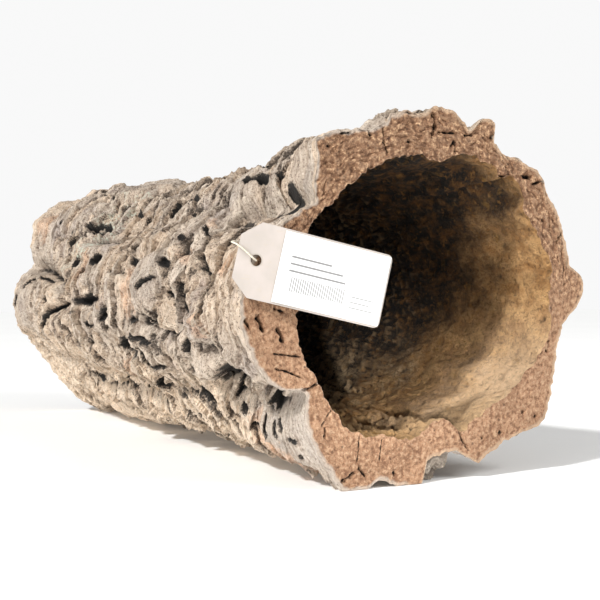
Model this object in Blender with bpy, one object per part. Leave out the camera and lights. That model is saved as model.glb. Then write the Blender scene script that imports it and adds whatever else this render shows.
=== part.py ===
"""Cork bark tube with a hang tag.

A length of virgin cork bark, taken off a limb as one closed tube and sawn square at both ends.
It lies on its side: the tube runs along Y with its mouth at -Y, and Z is up.

A place on the bark is (distance behind the mouth, angle). The angle is in degrees round the axis,
from +X up towards +Z as seen from the mouth. All sizes below are millimetres.
"""

import math

import bmesh
import bpy
import numpy as np
from mathutils import Vector, noise

MM = 0.001

# The tube
LENGTH = 350.0
GIRTH_RADIUS = 72.0         # mean outer radius, which turns degrees into millimetres of bark
AXIS_HEIGHT = 72.4          # the lowest ridges are worn flat this far under the axis
WALL_LEAST = 5.0            # the thinnest the wall gets, under the deepest furrow
COLUMNS = 112               # faces round the outside; the inside has half as many
RINGS = 44
INNER_RINGS = 14

# Outlines of the two sawn ends and of the waist, as (angle, radius)
MOUTH_OUTER = [
    (1, 88), (5, 89), (11, 82.5), (22, 82), (34, 82), (39, 83), (48, 78.5), (53, 76), (58, 75),
    (61.5, 82.7), (64.5, 82), (68.6, 74), (72, 76.5), (77, 78), (82, 77.5), (86.5, 74), (98, 73),
    (101, 70), (108, 69), (114, 71), (126, 75), (130, 68), (136, 63), (140.5, 58.5), (149, 62),
    (156, 65), (168, 73), (184, 76.5), (199, 73), (205, 70), (211, 65), (215.5, 59.5), (221, 65),
    (228, 69), (234, 73), (240, 76), (246, 79), (252, 76.5), (257, 71.5), (266, 73), (272, 73.5),
    (276, 64), (286, 63), (292, 68), (296, 73), (307, 73.5), (313, 76.5), (323, 83), (330, 80.5),
    (336, 78), (346, 76.5), (353, 78),
]
MOUTH_INNER = [
    (1, 69), (9, 70.5), (25, 68), (34, 66), (38, 69.5), (46, 71), (50, 64), (55, 67), (60, 66),
    (67, 62.5), (75, 58), (82, 55), (89, 57), (98, 56), (114, 53), (136, 52), (151, 54), (186, 53.5),
    (212, 53), (226, 54.5), (237, 56.5), (251, 54), (272, 53.5), (279, 49), (286, 49), (295, 56),
    (302, 55), (311, 57), (320, 61), (331, 62.5), (340, 67.5), (354, 69),
]
WAIST_OUTER = [
    (0, 76), (30, 72), (60, 68), (88, 63.5), (107, 62.5), (125, 66), (143, 64), (160, 70),
    (178, 73), (192, 74), (206, 71), (217, 66), (231, 70), (253, 69.5), (270, 70), (285, 68),
    (302, 72), (322, 75), (342, 74),
]
WAIST_INNER = [
    (0, 58), (45, 55), (90, 50), (140, 50), (180, 55), (215, 51), (260, 53), (300, 55),
]
BACK_OUTER = [
    (0, 74), (20, 77), (40, 72), (60, 74), (78, 70), (92, 74.5), (101, 74.5), (108, 70.5),
    (121, 73.5), (136, 74), (143, 69.5), (150, 65), (158, 59), (165, 63.5), (173, 66.5), (185, 67.5),
    (196, 66.5), (203, 62.5), (220, 61), (233, 63.5), (247, 67.5), (261, 71.5), (270, 74.5),
    (288, 76), (300, 74), (315, 69), (330, 76), (345, 77),
]
BACK_INNER = [
    (0, 57), (40, 54), (80, 55), (120, 57), (145, 53), (158, 47), (172, 51), (198, 52), (220, 48),
    (250, 52), (290, 57), (330, 56),
]
BROAD_FADE = 120.0          # the mouth's girth settles to the waist's over this length
LOBE_FADE = 48.0            # the mouth's narrow lobes run this far back
BACK_FADE = 150.0
OUTLINE_SPREAD = 24.0       # degrees over which the mouth's outline is averaged for its broad girth

# Relief of the bark
SWELL_SIZE = 40.0
SWELL_HEIGHT = 2.0
RIDGE_SIZE = 17.0
RIDGE_HEIGHT = 3.2
PLATE_ROUND = 27.0          # girth and length of the plates between furrows
PLATE_LONG = 46.0
FURROW_WIDTH = 0.26         # as a share of a plate
FURROW_DEPTH = 5.0
END_CALM = 16.0             # relief fades out this near a sawn end, whose outline is already given
INNER_RIPPLE = 1.6
INNER_RIPPLE_SIZE = 26.0

# Hollows in the bark: (distance, angle, half length, half width, depth, lean in degrees)
HOLLOWS = [
    (193, 180, 19, 4.5, 8, -8), (165, 185, 12, 4, 7, 25), (145, 200, 13, 7, 10, 20),
    (120, 199, 9, 7, 7, 50), (187, 191, 7, 4, 5, 0), (213, 198, 9, 4, 6, 0),
    (213, 144, 20, 5, 8, 0), (182, 163, 7, 4, 5, 0), (224, 163, 8, 4, 5, 0),
    (130, 166, 7, 4, 5, 0), (123, 180, 6, 6, 5, 40), (156, 143, 9, 5, 6, 0),
    (178, 217, 16, 6, 7, 0), (218, 216, 14, 5, 6, 20), (103, 144, 9, 7, 8, 35),
    (8, 142, 16, 7, 9, 0), (70, 165, 10, 5, 5, -30), (300, 195, 18, 6, 6, 0),
    (262, 120, 22, 6, 6, 0), (85, 232, 18, 6, 6, 10), (240, 240, 24, 6, 7, 0),
    (60, 90, 24, 6, 7, 8), (150, 70, 30, 7, 8, -8), (240, 62, 26, 7, 7, 5),
    (90, 40, 30, 7, 8, 4), (190, 20, 34, 7, 8, -5), (290, 30, 24, 7, 7, 8),
    (60, 345, 28, 7, 8, -6), (150, 335, 34, 7, 8, 6), (245, 350, 24, 7, 7, 0),
    (100, 300, 30, 7, 7, 5), (205, 305, 30, 7, 8, -8), (300, 318, 22, 7, 7, 0),
]
# Furrows: (width, depth, [(distance, angle), ...])
FURROWS = [
    (9, 11, [(-5, 141), (14, 143), (34, 146), (52, 148)]),
    (10, 12, [(-5, 216), (12, 213), (26, 207), (34, 201), (38, 195)]),
    (9, 9, [(38, 207), (52, 211), (70, 213)]),
    (8, 6, [(-6, 209), (12, 219), (30, 222), (58, 218)]),
    (7, 6, [(82, 180), (75, 185), (65, 190)]),
    (7, 6, [(112, 189), (97, 191), (72, 195)]),
    (7, 5, [(62, 162), (53, 169), (43, 176)]),
    (7, 5, [(65, 198), (72, 203), (74, 207)]),
    (8, 7, [(350, 158), (300, 163), (255, 171), (228, 176)]),
    (7, 5, [(230, 149), (200, 152), (172, 153)]),
    (7, 5, [(255, 184), (235, 182), (215, 183)]),
    (8, 6, [(150, 226), (190, 224), (235, 228), (275, 222)]),
]
# Ridges: (width, height, [(distance, angle), ...])
RIDGES = [
    (9, 5, [(60, 190), (38, 189), (20, 197), (6, 205)]),
    (9, 4, [(95, 182), (84, 188), (70, 194)]),
    (10, 4, [(140, 150), (110, 156), (88, 158)]),
    (9, 3, [(150, 172), (128, 172), (104, 174)]),
    (9, 4, [(235, 190), (205, 187), (178, 187)]),
    (10, 4, [(160, 210), (135, 211), (108, 208)]),
]
# Smooth raised plates: (distance, angle, half length, half width, height)
PLATES = [
    (56, 202, 8, 15, 2.5), (20, 228, 24, 15, 2.5), (56, 134, 13, 12, 2.5), (205, 154, 28, 9, 2.0),
    (237, 107, 28, 22, 5.0), (105, 172, 18, 12, 2.0), (330, 183, 20, 16, 2.0),
    (55, 107, 20, 14, 2.0), (250, 253, 34, 16, 2.0),
]

# The hang tag: a card with a paper label, tied at the left of the mouth
TAG_LENGTH = 59.0
TAG_HEIGHT = 28.0
CARD_THICKNESS = 0.6
TAG_YAW = 11.0              # degrees by which its right end stands out from the mouth
TAG_ROLL = -12.8            # degrees by which it hangs down to the right
HOLE_PLACE = (-70.5, 14.3)  # right of and above the axis
HOLE_INSET = 7.4            # from the card's left end
HOLE_RADIUS = 2.1
HOLE_SIDES = 20
TAG_TOUCH = -75.5           # right of the axis, where the card's back lies on the rim
NIB = 7.0                   # how far the left end's two corners are cut back
NIB_HALF_HEIGHT = 8.0       # half the height of the blunt left end
CORNER_RADIUS = 2.2
CORNER_STEPS = 5
LABEL_INSET = 0.8           # from the card's top, bottom and right edges
LABEL_START = 16.0          # from the card's left end
LABEL_THICKNESS = 0.2
THREAD_RADIUS = 0.35
THREAD_SIDES_SETTING = 2    # a bevel of this resolution has 8 sides
THREAD_STEPS = 36
TIED_AT = (4.5, 163.0)      # on the bark
GAP = 0.3                   # between solids that touch

# Colours as linear red, green, blue
BARK_COLOUR = (0.42, 0.33, 0.26)
CARD_COLOUR = (0.80, 0.74, 0.62)
LABEL_COLOUR = (0.86, 0.86, 0.84)
THREAD_COLOUR = (0.72, 0.68, 0.58)


def smooth_step(x):
    """Goes from 0 to 1 with level ends as x goes from 0 to 1."""
    x = np.clip(x, 0.0, 1.0)
    return x * x * (3.0 - 2.0 * x)


def outline(points, angle):
    """Reads a closed outline at each angle, on a curve that doesn't swing past its points."""
    at = np.array([p[0] for p in points], dtype=float)
    radius = np.array([p[1] for p in points], dtype=float)
    step = np.diff(at, append=at[0] + 360.0)
    slope = (np.roll(radius, -1) - radius) / step
    before = np.roll(slope, 1)
    level = slope * before <= 0.0
    total = np.where(level, 1.0, slope + before)
    tangent = np.where(level, 0.0, 2.0 * slope * before / total)
    angle = (np.asarray(angle, dtype=float) - at[0]) % 360.0
    i = np.searchsorted(at - at[0], angle, side="right") - 1
    j = (i + 1) % len(points)
    x = (angle - (at[i] - at[0])) / step[i]
    start = (1.0 + 2.0 * x) * (1.0 - x) ** 2 * radius[i] + x * (1.0 - x) ** 2 * step[i] * tangent[i]
    end = x * x * (3.0 - 2.0 * x) * radius[j] - x * x * (1.0 - x) * step[i] * tangent[j]
    return start + end


def lumps(places, size, seed):
    """Smooth noise from -1 to 1 at each place, with lumps of about that size."""
    shift = Vector((17.3, 31.7, 5.9)) * seed
    return np.array([noise.noise(Vector(p) / size + shift) for p in places])


def plate_edges(places, seed):
    """How far each place is from the furrow between two plates, from 0 in the furrow."""
    shift = Vector((3.1, 7.7, 11.9)) * seed
    nearest = [noise.voronoi(Vector(p) + shift)[0] for p in places]
    return np.array([d[1] - d[0] for d in nearest])


def away(angle, other):
    """Degrees from other to angle, the short way round."""
    return (np.asarray(angle) - other + 180.0) % 360.0 - 180.0


def bark_millimetres(degrees):
    return np.radians(degrees) * GIRTH_RADIUS


def along_line(t, angle, line):
    """Distance in millimetres of bark from each place to a line of (distance, angle) points."""
    best = np.full(np.shape(t), np.inf)
    for (t0, a0), (t1, a1) in zip(line, line[1:]):
        run = t1 - t0
        rise = bark_millimetres(a1 - a0)
        dt = t - t0
        da = bark_millimetres(away(angle, a0))
        share = np.clip((dt * run + da * rise) / (run * run + rise * rise), 0.0, 1.0)
        best = np.minimum(best, np.hypot(dt - share * run, da - share * rise))
    return best


def plate_share(t, angle, at, round_at, half_length, half_width):
    """1 on a smooth plate, falling to 0 past its edge."""
    across = bark_millimetres(away(angle, round_at)) / half_width
    reach = np.sqrt(((t - at) / half_length) ** 2 + across ** 2)
    return 1.0 - smooth_step((reach - 0.75) / 0.5)


def placed_relief(t, angle):
    """The hollows, furrows, ridges and plates that have a place of their own."""
    height = np.zeros(np.shape(t))
    for at, round_at, half_length, half_width, depth, lean in HOLLOWS:
        turn = math.radians(lean)
        dt = t - at
        da = bark_millimetres(away(angle, round_at))
        along = (dt * math.cos(turn) + da * math.sin(turn)) / half_length
        across = (da * math.cos(turn) - dt * math.sin(turn)) / half_width
        height -= depth * (1.0 - smooth_step(np.hypot(along, across) / 1.35))
    for width, depth, line in FURROWS:
        height -= depth * (1.0 - smooth_step(along_line(t, angle, line) / width))
    for width, rise, line in RIDGES:
        height += rise * (1.0 - smooth_step(along_line(t, angle, line) / width))
    for at, round_at, half_length, half_width, rise in PLATES:
        height += rise * plate_share(t, angle, at, round_at, half_length, half_width)
    return height


def grown_relief(t, angle):
    """The swells, ridges and furrowed plates that cover the whole bark."""
    turn = np.radians(angle)
    girth = np.stack([GIRTH_RADIUS * np.cos(turn), t, GIRTH_RADIUS * np.sin(turn)], axis=-1)
    stretched = girth * (1.0, 0.6, 1.0)
    swell = SWELL_HEIGHT * lumps(stretched, SWELL_SIZE, 1)
    ridge = RIDGE_HEIGHT * (0.35 - np.abs(lumps(stretched, RIDGE_SIZE, 2)) * 2.0)
    warp = np.stack([lumps(girth, 22.0, seed) for seed in (3, 4, 5)], axis=-1)
    cell = girth / (PLATE_ROUND, PLATE_LONG, PLATE_ROUND) + 0.35 * warp
    furrow = FURROW_DEPTH * (1.0 - smooth_step(plate_edges(cell, 6) / FURROW_WIDTH))
    calm = np.zeros(np.shape(t))
    for at, round_at, half_length, half_width, _ in PLATES:
        calm = np.maximum(calm, plate_share(t, angle, at, round_at, half_length, half_width))
    return (swell + ridge - furrow) * (1.0 - 0.8 * calm)


def outer_radius(t, angle):
    """Radius of the bark's outside at each place."""
    mouth = outline(MOUTH_OUTER, angle)
    turns = np.linspace(-OUTLINE_SPREAD / 2.0, OUTLINE_SPREAD / 2.0, 7)
    broad = sum(outline(MOUTH_OUTER, angle + turn) for turn in turns) / len(turns)
    waist = outline(WAIST_OUTER, angle)
    back = outline(BACK_OUTER, angle)
    radius = waist + (broad - waist) * (1.0 - smooth_step(t / BROAD_FADE))
    radius = radius + (mouth - broad) * (1.0 - smooth_step(t / LOBE_FADE))
    radius = radius + (back - waist) * smooth_step((t - LENGTH + BACK_FADE) / BACK_FADE)
    free = smooth_step(t / END_CALM) * smooth_step((LENGTH - t) / END_CALM)
    return radius + (grown_relief(t, angle) + placed_relief(t, angle)) * free


def inner_radius(t, angle):
    """Radius of the bore at each place."""
    mouth = outline(MOUTH_INNER, angle)
    waist = outline(WAIST_INNER, angle)
    back = outline(BACK_INNER, angle)
    radius = waist + (mouth - waist) * (1.0 - smooth_step(t / BROAD_FADE))
    radius = radius + (back - waist) * smooth_step((t - LENGTH + BACK_FADE) / BACK_FADE)
    turn = np.radians(angle)
    bore = np.stack([50.0 * np.cos(turn), 0.7 * t, 50.0 * np.sin(turn)], axis=-1)
    free = smooth_step(t / END_CALM) * smooth_step((LENGTH - t) / END_CALM)
    return radius + INNER_RIPPLE * lumps(bore, INNER_RIPPLE_SIZE, 7) * free


def on_axis_frame(radius, t, angle):
    """World places, in metres, of radii at those distances and angles."""
    turn = np.radians(angle)
    x = radius * np.cos(turn)
    y = t - LENGTH / 2.0
    z = AXIS_HEIGHT + radius * np.sin(turn)
    return np.stack([x, y, np.maximum(z, 0.0)], axis=-1) * MM


def material(name, colour, roughness):
    """A Principled material of one colour."""
    made = bpy.data.materials.new(name)
    made.use_nodes = True
    shader = made.node_tree.nodes["Principled BSDF"]
    shader.inputs["Base Color"].default_value = (*colour, 1.0)
    shader.inputs["Roughness"].default_value = roughness
    shader.inputs["Metallic"].default_value = 0.0
    return made


def link_object(name, data, finish):
    """Puts mesh or curve data in the scene as a named object with its material."""
    made = bpy.data.objects.new(name, data)
    made.data.materials.append(finish)
    bpy.context.collection.objects.link(made)
    return made


def ring_faces(first, second, count):
    """Quads between two rings of count vertices, from their first vertices."""
    return [
        (first + j, first + (j + 1) % count, second + (j + 1) % count, second + j)
        for j in range(count)
    ]


def sawn_end(outer, inner):
    """Triangles of a flat end between an outer ring and an inner ring with half its vertices."""
    count = COLUMNS // 2
    faces = []
    for j in range(count):
        near = inner + j
        far = inner + (j + 1) % count
        start, middle, end = (outer + (2 * j + k) % COLUMNS for k in range(3))
        faces += [(near, start, middle), (near, middle, far), (far, middle, end)]
    return faces


def cork_tube():
    """The bark as one closed body: outside, bore and the two sawn ends."""
    angle = np.arange(COLUMNS) * 360.0 / COLUMNS
    inner_angle = angle[::2]
    places = []
    for t in np.linspace(0.0, LENGTH, RINGS + 1):
        distance = np.full(COLUMNS, t)
        places.append(on_axis_frame(outer_radius(distance, angle), distance, angle))
    for t in np.linspace(0.0, LENGTH, INNER_RINGS + 1):
        distance = np.full(len(inner_angle), t)
        wall = outer_radius(distance, inner_angle) - WALL_LEAST
        bore = np.minimum(inner_radius(distance, inner_angle), wall)
        places.append(on_axis_frame(bore, distance, inner_angle))
    first_inner = (RINGS + 1) * COLUMNS
    inner_count = COLUMNS // 2
    faces = []
    for ring in range(RINGS):
        faces += ring_faces(ring * COLUMNS, (ring + 1) * COLUMNS, COLUMNS)
    for ring in range(INNER_RINGS):
        start = first_inner + ring * inner_count
        faces += [face[::-1] for face in ring_faces(start, start + inner_count, inner_count)]
    faces += sawn_end(0, first_inner)
    last_inner = first_inner + INNER_RINGS * inner_count
    faces += [face[::-1] for face in sawn_end(RINGS * COLUMNS, last_inner)]
    mesh = bpy.data.meshes.new("cork_tube")
    mesh.from_pydata(np.concatenate(places).tolist(), [], faces)
    tube = bmesh.new()
    tube.from_mesh(mesh)
    bmesh.ops.recalc_face_normals(tube, faces=tube.faces)
    tube.to_mesh(mesh)
    tube.free()
    mesh.shade_smooth()
    mesh.set_sharp_from_angle(angle=math.radians(60.0))
    return link_object("cork_tube", mesh, material("cork_bark", BARK_COLOUR, 0.9))


def tag_axes():
    """The tag's left end on its middle line, and its directions along, up and outward."""
    yaw = math.radians(TAG_YAW)
    roll = math.radians(TAG_ROLL)
    level = Vector((math.cos(yaw), -math.sin(yaw), 0.0))
    upright = Vector((0.0, 0.0, 1.0))
    along = level * math.cos(roll) + upright * math.sin(roll)
    up = upright * math.cos(roll) - level * math.sin(roll)
    outward = along.cross(up)
    hole_x, hole_z = HOLE_PLACE
    stand = GAP + (hole_x - TAG_TOUCH) * math.tan(yaw) + CARD_THICKNESS
    hole = Vector((hole_x, -LENGTH / 2.0 - stand, AXIS_HEIGHT + hole_z))
    return hole - along * HOLE_INSET, along, up, outward


def tag_point(along_by, up_by, out_by):
    """A world point, in metres, from distances along, up and out from the card's front face."""
    start, along, up, outward = tag_axes()
    return (start + along * along_by + up * up_by + outward * out_by) * MM


def rounded_corner(centre, start_angle):
    """Points of a quarter circle round a corner's centre."""
    turns = [math.radians(start_angle + 90.0 * k / CORNER_STEPS) for k in range(CORNER_STEPS + 1)]
    return [
        (centre[0] + CORNER_RADIUS * math.cos(a), centre[1] + CORNER_RADIUS * math.sin(a))
        for a in turns
    ]


def card_outline():
    """The card's edge: a blunt left end with cut-back corners, and round right corners."""
    half = TAG_HEIGHT / 2.0
    right = TAG_LENGTH - CORNER_RADIUS
    edge = [(0.0, NIB_HALF_HEIGHT), (0.0, -NIB_HALF_HEIGHT), (NIB, -half)]
    edge += rounded_corner((right, CORNER_RADIUS - half), -90.0)
    edge += rounded_corner((right, half - CORNER_RADIUS), 0.0)
    return edge + [(NIB, half)]


def hole_outline():
    turns = [2.0 * math.pi * k / HOLE_SIDES for k in range(HOLE_SIDES)]
    return [
        (HOLE_INSET + HOLE_RADIUS * math.cos(a), HOLE_RADIUS * math.sin(a)) for a in turns
    ]


def flat_sheet(name, loops, back, thickness, finish):
    """A flat sheet in the tag's plane, cut to closed loops, from its back face outward."""
    sheet = bmesh.new()
    edges = []
    for loop in loops:
        corners = [sheet.verts.new(tag_point(x, y, back)) for x, y in loop]
        edges += [sheet.edges.new(pair) for pair in zip(corners, corners[1:] + corners[:1])]
    bmesh.ops.triangle_fill(sheet, use_beauty=True, edges=edges)
    grown = bmesh.ops.extrude_face_region(sheet, geom=sheet.faces[:])
    raised = [item for item in grown["geom"] if isinstance(item, bmesh.types.BMVert)]
    lift = tag_point(0.0, 0.0, thickness) - tag_point(0.0, 0.0, 0.0)
    bmesh.ops.translate(sheet, verts=raised, vec=lift)
    bmesh.ops.recalc_face_normals(sheet, faces=sheet.faces)
    mesh = bpy.data.meshes.new(name)
    sheet.to_mesh(mesh)
    sheet.free()
    return link_object(name, mesh, finish)


def tag_card():
    loops = [card_outline(), hole_outline()]
    card = material("tag_board", CARD_COLOUR, 0.75)
    return flat_sheet("tag_card", loops, -CARD_THICKNESS, CARD_THICKNESS, card)


def tag_label():
    """The bare paper label stuck on the card's front."""
    top = TAG_HEIGHT / 2.0 - LABEL_INSET
    right = TAG_LENGTH - LABEL_INSET
    corners = [(LABEL_START, -top), (right, -top), (right, top), (LABEL_START, top)]
    paper = material("label_paper", LABEL_COLOUR, 0.45)
    return flat_sheet("tag_label", [corners], GAP, LABEL_THICKNESS, paper)


def smooth_path(points, steps):
    """Points along one smooth curve through the given points."""
    padded = [points[0] * 2.0 - points[1]] + points + [points[-1] * 2.0 - points[-2]]
    spans = len(points) - 1
    path = []
    for k in range(steps + 1):
        i = min(k * spans // steps, spans - 1)
        x = k * spans / steps - i
        a, b, c, d = padded[i:i + 4]
        path.append(
            (b * 2.0 + (c - a) * x + (a * 2.0 - b * 5.0 + c * 4.0 - d) * x ** 2
             + (b * 3.0 - a - c * 3.0 + d) * x ** 3) * 0.5
        )
    return path


def tag_thread():
    """The thread from the bark, round the card's left end and down through its hole."""
    t, angle = TIED_AT
    clear = THREAD_RADIUS + GAP
    bark = float(outer_radius(np.array([t]), np.array([angle]))[0])
    near_bark = [
        Vector(on_axis_frame(bark + clear + lift, t + shift, angle).tolist())
        for lift, shift in ((0.0, 0.0), (2.2, -0.6))
    ]
    over = [
        tag_point(-2.2, 4.8, -2.2), tag_point(-1.1, 4.0, 0.3), tag_point(1.2, 3.0, clear + 0.1),
        tag_point(4.4, 1.3, clear + 0.1), tag_point(HOLE_INSET - 1.0, 0.3, 0.35),
        tag_point(HOLE_INSET, 0.0, -CARD_THICKNESS / 2.0),
        tag_point(HOLE_INSET + 0.2, 0.0, -CARD_THICKNESS - 0.45),
    ]
    curve = bpy.data.curves.new("tag_thread", "CURVE")
    curve.dimensions = "3D"
    curve.bevel_depth = THREAD_RADIUS * MM
    curve.bevel_resolution = THREAD_SIDES_SETTING
    curve.use_fill_caps = True
    path = smooth_path(near_bark + over, THREAD_STEPS)
    spline = curve.splines.new("POLY")
    spline.points.add(len(path) - 1)
    for point, place in zip(spline.points, path):
        point.co = (*place, 1.0)
    return link_object("tag_thread", curve, material("thread_fibre", THREAD_COLOUR, 0.8))


def world_points(made):
    """Every mesh corner of an object as the viewport shows it."""
    seen = made.evaluated_get(bpy.context.evaluated_depsgraph_get())
    mesh = seen.to_mesh()
    points = [seen.matrix_world @ vertex.co for vertex in mesh.vertices]
    seen.to_mesh_clear()
    return points


def set_origin_under_middle(pieces):
    """Moves all pieces so that the origin lies under the middle of the whole object."""
    bpy.context.view_layer.update()
    points = [point for made in pieces for point in world_points(made)]
    shift = Vector([-(min(p[k] for p in points) + max(p[k] for p in points)) / 2.0
                    for k in range(2)] + [-min(p[2] for p in points)])
    for made in pieces:
        made.location = shift


def main():
    for old in list(bpy.data.objects):
        bpy.data.objects.remove(old)
    set_origin_under_middle([cork_tube(), tag_card(), tag_label(), tag_thread()])


main()
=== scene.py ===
"""Looks of the cork bark tube with its hang tag.

The bark is six closed sections that meet at their seams. They grow from the same outlines, furrows,
hollows and plates as the solid, and carry on to slabs, chips, strata and crumb. A place on the bark
is (distance behind the mouth in mm, angle in degrees round the axis, from +X up towards +Z as seen
from the mouth).
"""

import math

import bmesh
import bpy
import numpy as np
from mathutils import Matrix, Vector, noise


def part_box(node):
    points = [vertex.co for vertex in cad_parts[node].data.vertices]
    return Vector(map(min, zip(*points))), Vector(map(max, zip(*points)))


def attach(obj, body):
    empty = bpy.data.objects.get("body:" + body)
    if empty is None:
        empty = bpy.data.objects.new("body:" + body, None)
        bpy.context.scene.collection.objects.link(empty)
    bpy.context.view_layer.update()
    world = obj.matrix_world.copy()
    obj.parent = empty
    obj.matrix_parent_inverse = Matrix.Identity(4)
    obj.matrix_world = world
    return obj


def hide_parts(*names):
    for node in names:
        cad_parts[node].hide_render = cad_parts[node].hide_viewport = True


MM = 0.001

# The tube, in millimetres
LENGTH = 350.0
GIRTH_RADIUS = 72.0
BORE_RADIUS = 55.0
AXIS_HEIGHT = 72.4
THIN_WALL = 3.0             # least wall left under the deepest furrows
SOLID_COLUMNS = 112         # faces round the solid, whose widest corner gives the axis its place

# Outlines of the two sawn ends and of the waist, as (angle, radius)
MOUTH_OUTER = [
    (1, 88), (5, 89), (11, 82.5), (22, 82), (34, 82), (39, 83), (48, 78.5), (53, 76), (58, 75),
    (61.5, 82.7), (64.5, 82), (68.6, 74), (72, 76.5), (77, 78), (82, 77.5), (86.5, 74), (98, 73),
    (101, 70), (108, 69), (114, 71), (126, 75), (130, 68), (136, 63), (140.5, 58.5), (149, 62),
    (156, 65), (168, 73), (184, 76.5), (199, 73), (205, 70), (211, 65), (215.5, 59.5), (221, 65),
    (228, 69), (234, 73), (240, 76), (246, 79), (252, 76.5), (257, 71.5), (266, 73), (272, 73.5),
    (276, 64), (286, 63), (292, 68), (296, 73), (307, 73.5), (313, 76.5), (323, 83), (330, 80.5),
    (336, 78), (346, 76.5), (353, 78),
]
MOUTH_INNER = [
    (1, 69), (9, 70.5), (25, 68), (34, 66), (38, 69.5), (46, 71), (50, 64), (55, 67), (60, 66),
    (67, 62.5), (75, 58), (82, 55), (89, 57), (98, 56), (114, 53), (136, 52), (151, 54), (186, 53.5),
    (212, 53), (226, 54.5), (237, 56.5), (251, 54), (272, 53.5), (279, 49), (286, 49), (295, 56),
    (302, 55), (311, 57), (320, 61), (331, 62.5), (340, 67.5), (354, 69),
]
WAIST_OUTER = [
    (0, 76), (30, 72), (60, 68), (88, 63.5), (107, 62.5), (125, 66), (143, 64), (160, 70),
    (178, 73), (192, 74), (206, 71), (217, 66), (231, 70), (253, 69.5), (270, 70), (285, 68),
    (302, 72), (322, 75), (342, 74),
]
WAIST_INNER = [
    (0, 58), (45, 55), (90, 50), (140, 50), (180, 55), (215, 51), (260, 53), (300, 55),
]
BACK_OUTER = [
    (0, 74), (20, 77), (40, 72), (60, 74), (78, 70), (92, 74.5), (101, 74.5), (108, 70.5),
    (121, 73.5), (136, 74), (143, 69.5), (150, 65), (158, 59), (165, 63.5), (173, 66.5), (185, 67.5),
    (196, 66.5), (203, 62.5), (220, 61), (233, 63.5), (247, 67.5), (261, 71.5), (270, 74.5),
    (288, 76), (300, 74), (315, 69), (330, 76), (345, 77),
]
BACK_INNER = [
    (0, 57), (40, 54), (80, 55), (120, 57), (145, 53), (158, 47), (172, 51), (198, 52), (220, 48),
    (250, 52), (290, 57), (330, 56),
]
BROAD_FADE = 120.0
LOBE_FADE = 48.0
BACK_FADE = 150.0
OUTLINE_SPREAD = 24.0

# Relief that the solid has too
SWELL_SIZE = 40.0
SWELL_HEIGHT = 2.0
RIDGE_SIZE = 17.0
RIDGE_HEIGHT = 3.2
PLATE_ROUND = 27.0
PLATE_LONG = 46.0
FURROW_WIDTH = 0.26
FURROW_DEPTH = 5.0
END_CALM = 16.0
INNER_RIPPLE = 1.6
INNER_RIPPLE_SIZE = 26.0

# Hollows in the bark: (distance, angle, half length, half width, depth, lean in degrees)
HOLLOWS = [
    (193, 180, 19, 4.5, 8, -8), (165, 185, 12, 4, 7, 25), (145, 200, 13, 7, 10, 20),
    (120, 199, 9, 7, 7, 50), (187, 191, 7, 4, 5, 0), (213, 198, 9, 4, 6, 0),
    (213, 144, 20, 5, 8, 0), (182, 163, 7, 4, 5, 0), (224, 163, 8, 4, 5, 0),
    (130, 166, 7, 4, 5, 0), (123, 180, 6, 6, 5, 40), (156, 143, 9, 5, 6, 0),
    (178, 217, 16, 6, 7, 0), (218, 216, 14, 5, 6, 20), (103, 144, 9, 7, 8, 35),
    (8, 142, 16, 7, 9, 0), (70, 165, 10, 5, 5, -30), (300, 195, 18, 6, 6, 0),
    (262, 120, 22, 6, 6, 0), (85, 232, 18, 6, 6, 10), (240, 240, 24, 6, 7, 0),
    (60, 90, 24, 6, 7, 8), (150, 70, 30, 7, 8, -8), (240, 62, 26, 7, 7, 5),
    (90, 40, 30, 7, 8, 4), (190, 20, 34, 7, 8, -5), (290, 30, 24, 7, 7, 8),
    (60, 345, 28, 7, 8, -6), (150, 335, 34, 7, 8, 6), (245, 350, 24, 7, 7, 0),
    (100, 300, 30, 7, 7, 5), (205, 305, 30, 7, 8, -8), (300, 318, 22, 7, 7, 0),
]
# Furrows: (width, depth, [(distance, angle), ...])
FURROWS = [
    (9, 11, [(-5, 141), (14, 143), (34, 146), (52, 148)]),
    (10, 12, [(-5, 216), (12, 213), (26, 207), (34, 201), (38, 195)]),
    (9, 9, [(38, 207), (52, 211), (70, 213)]),
    (8, 6, [(-6, 209), (12, 219), (30, 222), (58, 218)]),
    (7, 6, [(82, 180), (75, 185), (65, 190)]),
    (7, 6, [(112, 189), (97, 191), (72, 195)]),
    (7, 5, [(62, 162), (53, 169), (43, 176)]),
    (7, 5, [(65, 198), (72, 203), (74, 207)]),
    (8, 7, [(350, 158), (300, 163), (255, 171), (228, 176)]),
    (7, 5, [(230, 149), (200, 152), (172, 153)]),
    (7, 5, [(255, 184), (235, 182), (215, 183)]),
    (8, 6, [(150, 226), (190, 224), (235, 228), (275, 222)]),
]
# Ridges: (width, height, [(distance, angle), ...])
RIDGES = [
    (9, 4, [(60, 190), (38, 189), (20, 197), (6, 205)]),
    (9, 2, [(95, 182), (84, 188), (70, 194)]),
    (10, 2, [(140, 150), (110, 156), (88, 158)]),
    (9, 1.5, [(150, 172), (128, 172), (104, 174)]),
    (9, 2, [(235, 190), (205, 187), (178, 187)]),
    (10, 2, [(160, 210), (135, 211), (108, 208)]),
]
# The side whose slabs are placed one by one, in degrees
PLACED_SIDE = 186.0
PLACED_REACH = 50.0
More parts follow.
